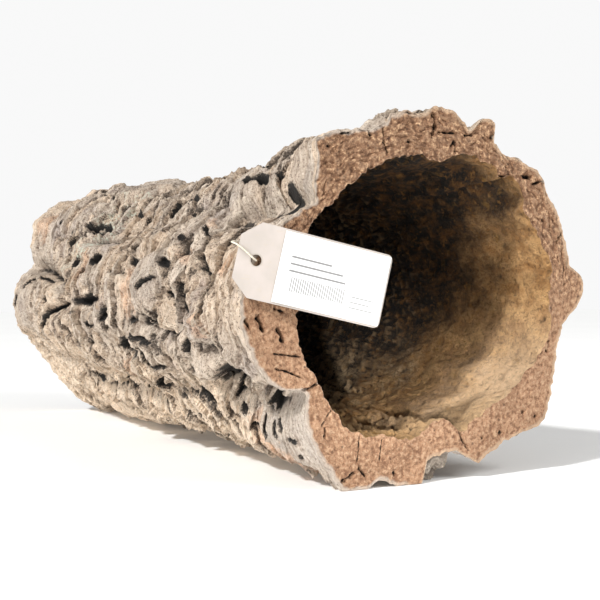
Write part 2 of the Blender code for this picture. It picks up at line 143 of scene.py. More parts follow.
# Slab edges there: (rise, reach, half the gap's width, [(distance, angle), ...]). Taken
# downwards, the slab stands over its neighbour on the side away from the mouth and falls off over
# its reach; the gap lies on the other side.
LEDGES = [
    (2.6, 14, 0.9, [(90, 177), (79, 180.5), (74, 184), (67, 186.5), (58, 189)]),
    (1.4, 8, 0.6, [(73, 173), (65, 178.5), (58, 183), (53, 184)]),
    (2.4, 14, 0.5, [(107, 189), (101, 188), (92, 191), (82, 192.5), (65, 193)]),
    (1.2, 8, 0.6, [(116, 184.5), (108, 187), (105, 188.5)]),
    (2.2, 9, 0.3, [(128, 191), (116, 194), (101, 196)]),
    (2.2, 10, 2.0, [(115, 195.5), (118, 200.5), (123, 204.5)]),
    (2.0, 9, 2.0, [(155, 182.5), (161, 184), (169, 187)]),
    (1.8, 10, 0.7, [(49, 190), (54, 194), (63, 198.5), (72, 203.5), (82, 208)]),
    (3.4, 13, 1.9, [(40, 193), (35, 196.5), (38, 200.5), (49, 205.5), (64, 212)]),
    (2.0, 8, 1.0, [(93, 217), (88, 219.5), (82, 221.5), (80, 223.5)]),
    (1.2, 6, 0.6, [(104, 218.5), (97, 220.5), (92, 221.5)]),
    (1.0, 5, 0.6, [(123, 223), (107, 222)]),
    (1.6, 8, 0.6, [(120, 209), (134, 216.5), (126, 220)]),
    (1.4, 8, 0.4, [(184, 216.5), (198, 224.5), (188, 228)]),
    (1.4, 8, 1.2, [(249, 219.5), (238, 223), (228, 223)]),
    (1.2, 8, 0.4, [(156, 218.5), (158, 223.5), (158, 227.5)]),
    (2.4, 14, 1.0, [(68, 162.5), (56, 166.5), (54, 169), (44, 173), (38, 176)]),
    (1.0, 6, 0.3, [(119, 203), (111, 205), (95, 205)]),
    (1.4, 10, 0.5, [(309, 167), (318, 170), (329, 174)]),
    (1.0, 7, 0.4, [(266, 171), (309, 167)]),
    (1.2, 8, 0.8, [(335, 176), (338, 179), (347, 184.5)]),
    (2.2, 14, 0.6, [(239, 181.5), (259, 185), (278, 189.5), (295, 194.5)]),
    (1.0, 7, 0.5, [(269, 177), (274, 182)]),
    (1.0, 8, 0.5, [(252, 144.5), (237, 144), (197, 147.5)]),
    (1.4, 8, 0.7, [(262, 144.5), (261, 148), (263, 152.5)]),
    (1.6, 8, 1.0, [(145, 162.5), (131, 166.5), (121, 166)]),
    (1.4, 7, 0.8, [(258, 115.5), (237, 125.5), (246, 126.5)]),
    (2.6, 14, 1.1, [(18, 211), (26, 217.5), (25, 220.5), (26, 223.5)]),
    (1.2, 6, 0.5, [(28, 224.5), (28, 227.5), (25, 229)]),
    (1.0, 5, 0.4, [(25, 224.5), (23, 226), (20, 227)]),
    (0.8, 4, 0.4, [(13, 232.5), (13, 235)]),
    (1.4, 6, 0.6, [(126, 230), (115, 232.5)]),
    (1.2, 7, 0.5, [(57, 221.5), (52, 224.5)]),
    (1.2, 7, 0.5, [(52, 227.5), (50, 229.5), (35, 230)]),
    (1.2, 8, 0.5, [(38, 223.5), (38, 228), (35, 229.5)]),
    (1.4, 7, 0.7, [(49, 210), (59, 217), (63, 221)]),
    (1.8, 10, 1.4, [(131, 133), (131, 137), (133, 142)]),
    (1.2, 6, 0.9, [(109, 141.5), (97, 142)]),
    (1.0, 6, 0.5, [(160, 130), (146, 131.5)]),
    (1.0, 6, 0.5, [(165, 138), (169, 141.5)]),
    (1.2, 7, 0.6, [(74, 151), (62, 157)]),
    (1.8, 10, 1.2, [(95, 166), (83, 169.5)]),
    (1.2, 7, 0.4, [(88, 171.5), (100, 173.5), (108, 176)]),
    (1.2, 5, 0.8, [(15, 145), (21, 146), (27, 148)]),
]
# Holes in the bark, painted dark inside as shade: (distance, angle, half length, half width, depth)
HOLES = [
    (140, 198.3, 15, 5.0, 9), (187, 180, 18, 2.8, 8), (238, 140, 16, 2.8, 7), (221, 142, 5, 3.4, 5),
    (234, 162, 4, 3, 3), (187, 163, 6, 3, 5), (186, 135.5, 6, 2.4, 4), (184, 190, 6.5, 1.8, 5),
    (213, 185, 9, 1.2, 3), (121, 187, 3.5, 1.4, 3), (113, 134.6, 6, 2, 3), (60, 188.5, 4, 2, 3),
    (2.5, 219.5, 1.6, 0.8, 2), (14, 229, 2.6, 1.0, 2), (84, 157, 1.8, 1.2, 2),
    (68, 168, 1.8, 1.2, 2), (320, 131, 2.2, 1.5, 2), (298, 138, 2.2, 1.5, 2),
    (276, 143, 2.2, 1.5, 2), (44, 132, 4.5, 2.8, 5), (54, 132.6, 5.5, 1.8, 4),
    (20, 136.6, 2.8, 2.0, 3), (17, 142.2, 5.0, 6.0, 8), (23, 127.2, 2.2, 1.2, 2),
    (31, 131.3, 1.8, 1.2, 2), (54, 125, 3.5, 1.3, 2),
]
GAP_DEPTH = 1.5             # depth of a gap, to which its width is added
LEDGE_FADE = 0.13           # part of an edge's length over which it fades in
LEDGE_PULL = 7.0            # how far an edge bends the slabs beside it, in millimetres
HOLE_POINT = 1.4            # 1 for a hole like a diamond, 2 for a round one
MARK_RANGE = (-2.0, 4.0)    # distances to a gap that its mark holds, in millimetres
# Smooth raised plates: (distance, angle, half length, half width, height)
PLATES = [
    (56, 202, 8, 15, 2.5), (20, 228, 24, 15, 2.5), (56, 134, 13, 12, 2.5), (205, 154, 28, 9, 2.0),
    (237, 107, 28, 22, 5.0), (105, 172, 18, 12, 2.0), (330, 183, 20, 16, 2.0),
    (13, 133, 9, 8, 0.6), (55, 107, 20, 14, 2.0), (250, 253, 34, 16, 2.0),
]

# The finer mesh: its sections are equal parts of the girth, from +X up
SECTIONS = ["bark_right_upper", "bark_top", "bark_left_upper", "bark_left_lower",
            "bark_underside", "bark_right_lower"]
SECTION_COLUMNS = 132
MARGIN = 14                 # columns past a section's ends that its marks are worked out with
RINGS = 390
RING_CROWDING = 0.35        # how much closer the rings stand at the mouth
FACE_ROWS = 50
BORE_RINGS = 150
BACK_FACE_ROWS = 4
SHARP_FROM = 42.0           # degrees between faces past which an edge is drawn sharp

# Numbers that the mesh carries at each vertex for its finishes
MARKS = ("strata", "level", "patch", "gap", "slit", "nook", "hollow", "slab_number",
         "plate_share", "crack", "lip", "ripple")

# Relief finer than the solid's. The slabs and their chips run along a level that bends to the
# placed slab edges, longer round the girth than along the tube.
FLOW_BEND = 6.0
SLAB_ROUND = 32.0
SLAB_LONG = 12.0
SLAB_RISE = 3.0             # how far a slab's edge towards the mouth stands over its neighbour
SLAB_STEP = 1.2             # how much higher one slab as a whole may be than the next
SLAB_CRACK = 2.4            # depth of the gaps between slabs
CHIP_ROUND = 15.0           # the chips on the slabs, in the same terms
CHIP_LONG = 4.4
CHIP_RISE = 1.1
CHIP_STEP = 0.5
CHIP_CRACK = 0.7
GRAIN_HEIGHT = 0.42         # fine lines along the slabs
SLIDE = 0.5                 # how far raised edges lean over towards the mouth
LEAN = 0.25                 # how far they lean round the tube
EDGE_CALM = 6.0             # reach of the sawn ends, where slabs and gaps fade
SLIDE_CALM = 8.0            # the same for the leaning edges
WALL_EASE = 2.0             # over this height a deep furrow levels out above the bore
# Shares of the random slabs taken off where slabs are placed: everywhere, more at the mouth up to
# a distance, and more again behind another distance
PLACED_CALM = 0.18
MOUTH_CALM = 0.5
MOUTH_CALM_TO = 32.0
BACK_CALM = 0.35
BACK_CALM_FROM = 230.0
CRUMB_HEIGHT = 0.6
STRATUM = 2.0               # thickness of a layer of bark
LAYER_SHARE = 0.55          # how flat the layers are
RAGGED = 0.45               # how far the layers' edges stray
# Where the bark behind a notch of the sawn edge stands out past it: (angle, half width, rise)
SHELVES = [(281, 5.5, 7.0), (103, 4.0, 2.5)]
EDGE_WANDER = 1.1           # how far the sawn edges stray
SAW_WANDER = 0.3            # how far the sawn faces are off flat
SAW_RIPPLE = 1.3            # crinkles on the sawn faces, which run round the tube
RIPPLE_ROUND = 3.2
RIPPLE_ACROSS = 1.25
PORE_SPACING = 5.5
BORE_LUMPS = 2.2
DEBRIS_SIDE = 222.0         # the bore's flaky part, low on its left, in degrees
DEBRIS_FROM = 60.0          # and all round it from this distance on
LEFT_SIDE = 180.0           # the bore's wall that the mouth's left lip hides
HIDDEN_TO = 250.0

# Cracks and holes in the mouth's sawn face: (width, depth, [(angle, radius), ...])
FACE_CRACKS = [
    (1.0, 4.0, [(83, 75), (81.2, 69.5), (82.7, 65.5)]),
    (0.8, 3.0, [(79.5, 68), (73.5, 70)]),
    (0.7, 2.5, [(102.5, 68), (103.2, 62.7), (102, 58.5)]),
    (0.9, 2.5, [(69.6, 71), (67, 72.5)]),
    (0.9, 2.5, [(60.5, 76.5), (58.5, 79)]),
    (1.4, 4.0, [(43.2, 75.6), (41, 78.4)]),
    (0.8, 3.5, [(38.6, 77.5), (37.8, 81.5), (35.8, 84.5)]),
    (0.9, 4.0, [(51.6, 62.5), (49.9, 66.2), (46, 71)]),
    (0.8, 2.5, [(18.4, 77.5), (20.3, 81.5)]),
    (1.2, 3.0, [(92.4, 73.8), (88, 74.6)]),
    (1.0, 2.5, [(108.5, 69), (107.6, 66.6)]),
    (0.9, 2.0, [(118.5, 71.5), (115, 70.5)]),
    (1.0, 3.0, [(248.4, 69), (251.8, 71.2)]),
    (1.0, 3.0, [(243.8, 77), (246.1, 73.5), (247.4, 71.2)]),
    (0.7, 3.0, [(292.6, 56), (292.8, 61.2), (293.5, 66)]),
    (0.5, 1.2, [(244.1, 58), (247, 67)]),
    (0.5, 1.2, [(254.4, 56), (255.3, 64)]),
    (0.6, 1.5, [(227.5, 55), (228, 59.6), (228.3, 63.2)]),
    (0.9, 2.5, [(230, 63), (231.8, 65.2)]),
    (1.4, 4.0, [(185.3, 69), (189.5, 67.5)]),
    (1.4, 4.0, [(190.4, 61.1), (194.4, 60.2)]),
    (0.9, 3.0, [(185.8, 74.2), (188, 73)]),
    (0.8, 2.5, [(183, 62), (184.4, 58)]),
    (0.6, 2.5, [(202, 67), (205.1, 62.4), (209.7, 58.4)]),
    (0.5, 2.0, [(197.5, 65.5), (202.3, 55.5)]),
    (0.7, 2.5, [(74, 63.4), (72.6, 67.4), (71.4, 63)]),
    (0.9, 3.0, [(36.6, 65), (38.1, 69.4)]),
    (0.8, 3.0, [(215.8, 53), (215, 58), (213, 62.6)]),
]
PIT_SIZE = 1.3
PIT_DEPTH = 2.0
FACE_PITS = [
    (341.7, 54.4), (351.7, 57.6), (345.9, 71.2), (342.4, 71.3), (319.3, 72.3), (321.8, 78.8),
    (308.5, 69.4), (262, 68), (301, 66), (5, 78), (27, 74), (124, 70), (160, 60), (92, 62),
]

# The tag, in millimetres: its turn, its hole and where its back touches the mouth
TAG_YAW = 11.0
TAG_ROLL = -12.8
HOLE_PLACE = (-70.5, 14.3)
HOLE_INSET = 7.4
TAG_TOUCH = -75.5
TAG_STAND = 0.9

# Print on the label: (low, high, left, right) in mm up and along the tag
RULED_LINES = [
    (4.2, 4.9, 20.0, 36.0), (1.6, 2.3, 20.0, 41.0), (-1.0, -0.3, 20.0, 42.5),
    (-5.0, -4.6, 45.5, 55.0), (-7.0, -6.6, 45.5, 53.5), (-9.0, -8.6, 45.5, 55.5),
]
BAR_BLOCK = (-8.2, -2.8, 21.5, 43.0)
BAR_PITCH = 0.9

# Patches of colour on the bark: (distance, angle, size in mm). The ones under the mouth's notch are
# painted shade, dark grey.
LICHEN = [(215, 140, 26), (222, 150, 16), (249, 159, 12), (60, 60, 20), (180, 350, 24)]
NOTCH_SHADE_SPOTS = [(8, 281, 13), (22, 281, 12)]
PEACH = [
    (63, 147, 9), (74, 163, 8), (27, 168, 7), (127, 176, 11), (207, 164, 9), (153, 208, 8),
    (41, 188, 6), (330, 140, 13), (47, 233, 12), (31, 240, 12), (120, 60, 12), (240, 20, 11),
    (90, 320, 12), (280, 290, 11),
]

# The studio, in metres
FLOOR_SIZE = 12.0
FLOOR_DROP = 0.0002             # so that the floor and the worn ridges don't share a plane
LAMP_DISTANCE = 1.5
BACKDROP_BRIGHTNESS = 0.945     # the air as the camera sees it
ROOM_BRIGHTNESS = 0.36          # the air as it lights the tube

# The camera, as the photo was taken: level, to the left of the axis
CAMERA_LENS = 66.0
CAMERA_SENSOR = 36.0
CAMERA_FROM_MOUTH = Vector((-248.9, -356.2, 0.0)) * MM
CAMERA_YAW = 29.0


def rises(x):
    """Goes from 0 to 1 with level ends as x goes from 0 to 1."""
    x = np.clip(x, 0.0, 1.0)
    return x * x * (3.0 - 2.0 * x)


def falls(x):
    """Goes from 1 to 0 with level ends as x goes from 0 to 1."""
    return 1.0 - rises(x)


def outline(points, angle):
    """Reads a closed outline at each angle, on a curve that doesn't swing past its points."""
    at = np.array([p[0] for p in points], dtype=float)
    radius = np.array([p[1] for p in points], dtype=float)
    step = np.diff(at, append=at[0] + 360.0)
    slope = (np.roll(radius, -1) - radius) / step
    before = np.roll(slope, 1)
    level = slope * before <= 0.0
    total = np.where(level, 1.0, slope + before)
    tangent = np.where(level, 0.0, 2.0 * slope * before / total)
    angle = (np.asarray(angle, dtype=float) - at[0]) % 360.0
    i = np.searchsorted(at - at[0], angle, side="right") - 1
    j = (i + 1) % len(points)
    x = (angle - (at[i] - at[0])) / step[i]
    start = (1.0 + 2.0 * x) * (1.0 - x) ** 2 * radius[i] + x * (1.0 - x) ** 2 * step[i] * tangent[i]
    end = x * x * (3.0 - 2.0 * x) * radius[j] - x * x * (1.0 - x) * step[i] * tangent[j]
    return start + end


def lumps(places, size, seed):
    """Smooth noise from -1 to 1 at each place, with lumps of about that size."""
    shift = Vector((17.3, 31.7, 5.9)) * seed
    flat = places.reshape(-1, 3)
    found = np.array([noise.noise(Vector(p) / size + shift) for p in flat])
    return found.reshape(places.shape[:-1])


def mixed_lumps(places, *layers):
    """Noises of several sizes laid over each other: (size, seed, share)."""
    return sum(share * lumps(places, size, seed) for size, seed, share in layers)


def bends(places, size, seed):
    """Three smooth noises side by side, which push places about."""
    return np.stack([lumps(places, size, seed + k) for k in range(3)], axis=-1)


def shingles(places, seed):
    """For each place: distance to its scale's edge, its rise towards the mouth, its own number."""
    shift = Vector((3.1, 7.7, 11.9)) * seed
    edges, rises, numbers = [], [], []
    for place in places.reshape(-1, 3):
        at = Vector(place) + shift
        distances, owners = noise.voronoi(at)
        own = noise.cell_vector(owners[0] * 7.0)
        off = at - owners[0]
        edges.append(distances[1] - distances[0])
        rises.append(off.x * (own.x - 0.5) + off.z * (own.z - 0.5) - off.y)
        numbers.append(own.y)
    shape = places.shape[:-1]
    return tuple(np.array(values).reshape(shape) for values in (edges, rises, numbers))


def away(angle, other):
    """Degrees from other to angle, the short way round."""
    return (np.asarray(angle) - other + 180.0) % 360.0 - 180.0


def bark_millimetres(degrees):
    """Length round the bark's even girth."""
    return np.radians(degrees) * GIRTH_RADIUS


def on_line(x, y, line):
    """For each place (x, y): its distance to a line of points, the same distance with a sign for
    the side that it lies on, and how far along the line it is, from 0 to 1."""
    near, signed, along = np.inf, 0.0, 0.0
    for k, ((x0, y0), (x1, y1)) in enumerate(zip(line, line[1:])):
        run, rise = x1 - x0, y1 - y0
        share = np.clip(((x - x0) * run + (y - y0) * rise) / (run ** 2 + rise ** 2), 0.0, 1.0)
        off_x, off_y = x - x0 - share * run, y - y0 - share * rise
        far = np.hypot(off_x, off_y)
        nearer = far < near
        near = np.where(nearer, far, near)
        signed = np.where(nearer, far * np.sign(rise * off_x - run * off_y), signed)
        along = np.where(nearer, (k + share) / (len(line) - 1), along)
    return near, signed, along


def on_bark_line(t, angle, line):
    """The same, in millimetres of bark, for a line of (distance, angle) points."""
    middle = line[0][1]
    flat = [(at, bark_millimetres(round_at - middle)) for at, round_at in line]
    return on_line(t, bark_millimetres(away(angle, middle)), flat)


def seen_from(t, angle, at, round_at, half_length, half_width, lean=0.0):
    """Places along and across a spot on the bark, in shares of its half length and half width."""
    turn = math.radians(lean)
    dt = t - at
    da = bark_millimetres(away(angle, round_at))
    return ((dt * math.cos(turn) + da * math.sin(turn)) / half_length,
            (da * math.cos(turn) - dt * math.sin(turn)) / half_width)


def plate_share(t, angle, *plate):
    """1 on a smooth plate, falling to 0 past its edge."""
    return falls((np.hypot(*seen_from(t, angle, *plate)) - 0.75) / 0.5)


def calm_share(t, angle):
    """1 on the smooth plates, 0 off them."""
    calm = 0.0
    for *plate, _ in PLATES:
        calm = np.maximum(calm, plate_share(t, angle, *plate))
    return calm


def placed_relief(t, angle, hollow_share):
    """The hollows, furrows, ridges and plates of the solid, with the furrows' deeper middles."""
    height = 0.0
    for *spot, depth, lean in HOLLOWS:
        reach = np.hypot(*seen_from(t, angle, *spot, lean))
        hollow = depth * (falls(reach / 1.35) + 0.5 * falls(reach / 0.7))
        height = height - hollow * hollow_share
    for width, depth, line in FURROWS:
        near = on_bark_line(t, angle, line)[0] / width
        height = height - depth * (falls(near) + 0.4 * falls(near / 0.4))
    for width, rise, line in RIDGES:
        height = height + rise * falls(on_bark_line(t, angle, line)[0] / width)
    for *plate, rise in PLATES:
        height = height + rise * plate_share(t, angle, *plate)
    return height


def ledge_relief(t, angle, level):
    """The slab edges that have a place: height, distance to their gaps, and the level bent."""
    height, gap, pull, weight = 0.0, MARK_RANGE[1], 0.0, 0.6
    for rise, reach, half_gap, line in LEDGES:
        near, signed, along = on_bark_line(t, angle, line)
        fade = rises(np.minimum(along, 1.0 - along) / LEDGE_FADE)
        taper = np.sin(np.pi * along) ** 0.7
        slab = rise * falls(signed / reach) * (signed > 0.0)
        step = -0.4 * rise * falls(-signed / (0.5 * reach)) * (signed <= 0.0)
        across = np.abs(signed + half_gap) - 1.2 * half_gap * taper + 1.5 * (1.0 - fade)
        groove = (GAP_DEPTH + half_gap) * falls((across + 0.5) / 1.4)
        height = height + (slab + step) * fade - groove
        gap = np.minimum(gap, across)
        onward = math.copysign(1.0, line[-1][1] - line[0][1])
        centre = sum(at for at, _ in line) / len(line)
        share = np.exp(-(near / LEDGE_PULL) ** 2) * fade
        pull = pull + share * (centre + onward * signed - level)
        weight = weight + share
    for *spot, half_width, deep in HOLES:
        along, across = seen_from(t, angle, *spot, half_width)
        reach = (np.abs(along) ** HOLE_POINT + np.abs(across) ** HOLE_POINT) ** (1.0 / HOLE_POINT)
        height = height - deep * falls((reach - 0.65) / 0.55)
        gap = np.minimum(gap, (reach - 1.0) * half_width)
    return height, gap, level + pull / weight


def girth_places(t, angle, radius=GIRTH_RADIUS):
    """Places on an even cylinder round the axis, which the noises are read at."""
    turn = np.radians(angle)
    return np.stack([radius * np.cos(turn), t, radius * np.sin(turn)], axis=-1)


def flow_places(girth, level, round_size, level_size):
    """Places for noise whose lumps run along the slabs, with their sizes round and across."""
    return np.stack([girth[..., 0] / round_size, level / level_size, girth[..., 2] / round_size],
                    axis=-1)


def grown_relief(girth, placed, calm):
    """The swells, ridges and furrowed plates that cover the whole bark."""
    stretched = girth * (1.0, 0.6, 1.0)
    swell = (1.0 - 0.4 * placed) * SWELL_HEIGHT * lumps(stretched, SWELL_SIZE, 1)
    ridge = 0.35 * RIDGE_HEIGHT * (0.35 - np.abs(lumps(stretched, RIDGE_SIZE, 2)) * 2.0)
    cell = girth / (PLATE_ROUND, PLATE_LONG, PLATE_ROUND) + 0.35 * bends(girth, 22.0, 3)
    furrow = (1.0 - 0.5 * placed) * FURROW_DEPTH * falls(shingles(cell, 6)[0] / FURROW_WIDTH)
    return (swell + ridge - furrow) * (1.0 - 0.8 * calm)


def slab_relief(girth, level):
    """Flat slabs that overlap like shingles: height, distance to their gaps, each one's number."""
    cell = flow_places(girth, level, SLAB_ROUND, SLAB_LONG)
    cell = cell + 0.25 * bends(girth, 17.0, 11) + 0.07 * bends(girth, 4.0, 25)
    edge, rise, number = shingles(cell, 14)
    shut = falls(lumps(girth, 12.0, 29) * 1.5 + 0.6)
    gap = 0.5 * SLAB_LONG * (edge + 0.2 * shut - 0.03)
    crack = SLAB_CRACK * falls((gap + 0.4) / 1.2)
    return SLAB_RISE * rise + SLAB_STEP * (number - 0.5) - crack, gap, number


def chip_relief(girth, level):
    """Narrow chips on the slabs: height, and distance to their edges."""
    cell = flow_places(girth, level, CHIP_ROUND, CHIP_LONG) + 0.28 * bends(girth, 8.0, 36)
    edge, rise, number = shingles(cell, 15)
    height = CHIP_RISE * rise + CHIP_STEP * (number - 0.5) - CHIP_CRACK * falls(edge / 0.12)
    return height, 0.5 * CHIP_LONG * edge


def crumb_relief(girth, level, angle):
    """Fine lines along the slabs, crumb in patches, and where the patches are."""
    patch = rises(1.4 * lumps(girth, 24.0, 64) + 0.35
                        + 0.5 * np.cos(np.radians(angle - 115.0)))
    crumb = mixed_lumps(girth, (2.2, 16, 1.0), (1.2, 17, 0.8))
    grain = (lumps(flow_places(girth, level, 14.0, 1.6), 1.0, 65)
             + 0.5 * lumps(flow_places(girth, level, 9.0, 0.9), 1.0, 66))
    height = CRUMB_HEIGHT * (0.25 + 0.75 * patch) * crumb
    return height + GRAIN_HEIGHT * (1.0 - 0.6 * patch) * grain, patch


def layered(height, girth, bark_level):
    """Cuts a height into flat layers with ragged, steep edges."""
    stray = lumps(flow_places(girth, bark_level, 10.0, 3.0), 1.0, 18) + 0.6 * lumps(girth, 2.2, 39)
    level = (height + RAGGED * stray) / STRATUM + 1.1 * lumps(girth, 30.0, 40)
    part = level - np.floor(level)
    stepped = (np.floor(level) + rises((part - 0.42) / 0.16)) * STRATUM
    return height + stepped - level * STRATUM


def outer_base(t, angle):
    """Radius of the bark's outside from its outlines alone."""
    mouth = outline(MOUTH_OUTER, angle)
    turns = np.linspace(-OUTLINE_SPREAD / 2.0, OUTLINE_SPREAD / 2.0, 7)
    broad = sum(outline(MOUTH_OUTER, angle + turn) for turn in turns) / len(turns)
    waist = outline(WAIST_OUTER, angle)
    back = outline(BACK_OUTER, angle)
    radius = waist + (broad - waist) * falls(t / BROAD_FADE)
    radius = radius + (mouth - broad) * falls(t / LOBE_FADE)
    return radius + (back - waist) * rises((t - LENGTH + BACK_FADE) / BACK_FADE)


def inner_base(t, angle):
    """Radius of the bore from its outlines alone."""
    waist = outline(WAIST_INNER, angle)
    radius = waist + (outline(MOUTH_INNER, angle) - waist) * falls(t / BROAD_FADE)
    back = outline(BACK_INNER, angle)
    return radius + (back - waist) * rises((t - LENGTH + BACK_FADE) / BACK_FADE)


def end_share(t, reach=END_CALM):
    """0 at both sawn ends, 1 further in than reach."""
    return rises(t / reach) * rises((LENGTH - t) / reach)


def blurred(grid, rows, columns):
    """Averages a grid over a window of rows and columns."""
    for axis, reach in enumerate((rows, columns)):
        pads = [(0, 0), (0, 0)]
        pads[axis] = (reach + 1, reach)
        total = np.cumsum(np.pad(grid, pads, mode="edge"), axis=axis)
        width = 2 * reach + 1
        size = grid.shape[axis]
        after = np.take(total, np.arange(width, width + size), axis=axis)
        before = np.take(total, np.arange(size), axis=axis)
        grid = (after - before) / width
    return grid


class TubePlace:
    """Where the tube lies in the frame: its axis and its mouth, from the solid's box."""

    def __init__(self):
        low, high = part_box("cork_tube")
        corners = np.arange(SOLID_COLUMNS) * 360.0 / SOLID_COLUMNS
        reach = np.max(outline(MOUTH_OUTER, corners) * np.cos(np.radians(corners)))
        self.axis_x = high[0] - reach * MM
        self.mouth_y = low[1]
        self.axis_z = low[2] + AXIS_HEIGHT * MM

    def world(self, radius, t, angle):
        """World places, in metres, of radii at those distances and angles."""
        turn = np.radians(angle)
        x = self.axis_x + radius * np.cos(turn) * MM
        y = self.mouth_y + t * MM + 0.0 * x
        z = self.axis_z + radius * np.sin(turn) * MM
        return np.stack([x, y, np.maximum(z, 0.0)], axis=-1)

    def mouth_centre(self):
        return Vector((self.axis_x, self.mouth_y, self.axis_z))


class Section:
    """One part of the tube's girth, with a margin of columns that its marks are read with."""

    def __init__(self, place, index):
        self.place = place
        sweep = 360.0 / len(SECTIONS)
        first = index * sweep
        self.step = sweep / SECTION_COLUMNS
        self.angle = first + self.step * np.arange(-MARGIN, SECTION_COLUMNS + MARGIN + 1)
        self.kept = slice(MARGIN, MARGIN + SECTION_COLUMNS + 1)
        # At a section's own edges nothing slides round or along, so that neighbours meet
        inner = np.minimum(self.angle - first, first + sweep - self.angle)
        self.free = rises(np.abs(inner) / 1.5)

    def window(self, millimetres):
        """How many columns a length round the bark takes."""
        return max(1, round(millimetres / (math.radians(self.step) * GIRTH_RADIUS)))

    def grid(self, rings):
        """Angles and distances, on rings that are closer together at the mouth."""
        x = np.linspace(0.0, 1.0, rings + 1)
        return np.meshgrid(self.angle, LENGTH * x * (1.0 - RING_CROWDING * (1.0 - x)))

    def outside(self):
        """World places of the bark, a row for each ring, and what its colours depend on."""
        angle, t = self.grid(RINGS)
        girth = girth_places(t, angle)
        stray_t = mixed_lumps(girth, (7.0, 34, 1.6), (2.8, 62, 0.9))
        stray_round = mixed_lumps(girth, (7.0, 35, 1.6), (2.8, 63, 0.9))
        stray_angle = np.degrees(stray_round / GIRTH_RADIUS)
        astray = (t + stray_t, angle + stray_angle)
        placed = falls((np.abs(away(angle, PLACED_SIDE)) - PLACED_REACH) / 30.0)
        calm = calm_share(t, angle)
        rough = 1.0 - 0.6 * calm
        inside = end_share(t)
        almost = end_share(t, EDGE_CALM)
        level = t + FLOW_BEND * mixed_lumps(girth, (36.0, 60, 1.0), (13.0, 61, 0.35))
        ledge, gap, level = ledge_relief(t + 0.5 * stray_t, angle + 0.5 * stray_angle, level)
        slab, slab_gap, number = slab_relief(girth, level)
        chips, chip_gap = chip_relief(girth, level)
        crumb, patch = crumb_relief(girth, level, angle)
        height = grown_relief(girth, placed, calm) + placed_relief(*astray, 1.0 - 0.75 * placed)
        near_mouth = falls((t - EDGE_CALM) / (MOUTH_CALM_TO - EDGE_CALM))
        slab_share = rough * (1.0 - placed * (PLACED_CALM + MOUTH_CALM * near_mouth))
        far_back = rises((t - BACK_CALM_FROM) / 60.0)
        slab_share = slab_share * (1.0 - BACK_CALM * placed * far_back)
        height = height * inside + (slab * slab_share + ledge) * almost
        share = LAYER_SHARE * rough * almost
        height = height + share * (layered(height, girth, level) - height)
        strata = height
        height = height + (chips * rough * (1.0 - 0.5 * patch) + crumb) * (0.4 + 0.6 * almost)
        slab_gap = slab_gap + 1.6 * (1.0 - slab_share)
        chip_gap = chip_gap + 0.6 + 0.9 * (1.0 - patch)
        gap = gap + 3.0 * (1.0 - almost)
        slit = np.minimum(slab_gap, chip_gap) + 3.0 * (1.0 - almost)
        stray = mixed_lumps(girth, (4.0, 19, 1.0), (1.9, 45, 0.6))
        height = height + EDGE_WANDER * stray * (1.0 - almost)
        for round_at, half_width, rise in SHELVES:
            beside = falls(np.abs(away(angle, round_at)) / half_width - 0.5)
            behind = rises((t - 1.5) / 4.0) * falls((t - 8.0) / 40.0)
            height = height + rise * beside * behind
        proud = (height - blurred(height, 8, self.window(7.0))) * self.free
        slide = -SLIDE * proud * end_share(t, SLIDE_CALM)
        lean = LEAN * proud * lumps(girth, 26.0, 20)
        radius = outer_base(t, angle) + height
        least = inner_base(t, angle) + THIN_WALL
        eased = least + WALL_EASE * np.exp((radius - least) / WALL_EASE - 1.0)
        radius = np.where(radius < least + WALL_EASE, eased, radius)
        turned = angle + np.degrees(lean / radius)
        places = self.place.world(radius, np.clip(t + slide, 0.0, LENGTH), turned)
        marks = {
            "strata": strata,
            "level": level,
            "patch": patch,
            "nook": height - blurred(height, 2, self.window(2.0)),
            "hollow": height - blurred(height, 7, self.window(7.0)),
            "slab_number": number,
            "plate_share": calm,
            "gap": np.clip(gap, *MARK_RANGE),
            "slit": np.clip(slit, *MARK_RANGE),
        }
        return places, radius, marks

    def bore(self, outer_radius):
        """World places of the bore, from the mouth back."""
        angle, t = self.grid(BORE_RINGS)
        turn = np.radians(angle)
        wall = girth_places(t, angle, BORE_RADIUS)
        ripple = lumps(girth_places(0.7 * t, angle, 50.0), INNER_RIPPLE_SIZE, 7)
        ripple = INNER_RIPPLE * ripple * end_share(t)
        bits = wall / (7.0, 8.0, 7.0) + 0.5 * bends(wall, 6.0, 48)
        edge, rise, number = shingles(bits, 51)
        debris = rises((np.cos(turn - math.radians(DEBRIS_SIDE)) - 0.1) / 0.5)
        debris = np.maximum(debris, rises((t - DEBRIS_FROM) / 60.0)) * end_share(t, 14.0)
        rough = (1.0 + 0.6 * debris) * BORE_LUMPS * (
            lumps(wall * (1.0, 0.6, 1.0), 9.0, 22) + 0.9 * np.abs(lumps(wall, 5.0, 23)))
        rough = rough + 0.9 * np.abs(lumps(wall, 3.0, 24)) + 0.5 * lumps(wall, 1.7, 44)
        chips = 1.6 * rise + 1.2 * (number - 0.5) - 1.2 * falls(edge / 0.12)
        rough = rough - 1.3 * debris * chips
        lip = outline(MOUTH_INNER, angle) + 1.5 * rises(t / 10.0)
        hidden = rises((np.cos(turn - math.radians(LEFT_SIDE)) - 0.35) / 0.3)
        hidden = hidden * rises((HIDDEN_TO - t) / 60.0)
        base = inner_base(t, angle)
        base = base + hidden * (np.maximum(base, lip) - base)
        stray = lumps(wall, 5.0, 46) + 0.8 * np.abs(lumps(wall, 2.3, 47))
        radius = base + ripple + rough + 0.9 * stray * falls(t / 9.0)
        rings = np.linspace(0, RINGS, BORE_RINGS + 1).astype(int)
        radius = np.minimum(radius, outer_radius[rings] - 0.7 * THIN_WALL)
        marks = {"nook": rough - blurred(rough, 1, self.window(2.5))}
        return self.place.world(radius, t, angle), radius, marks

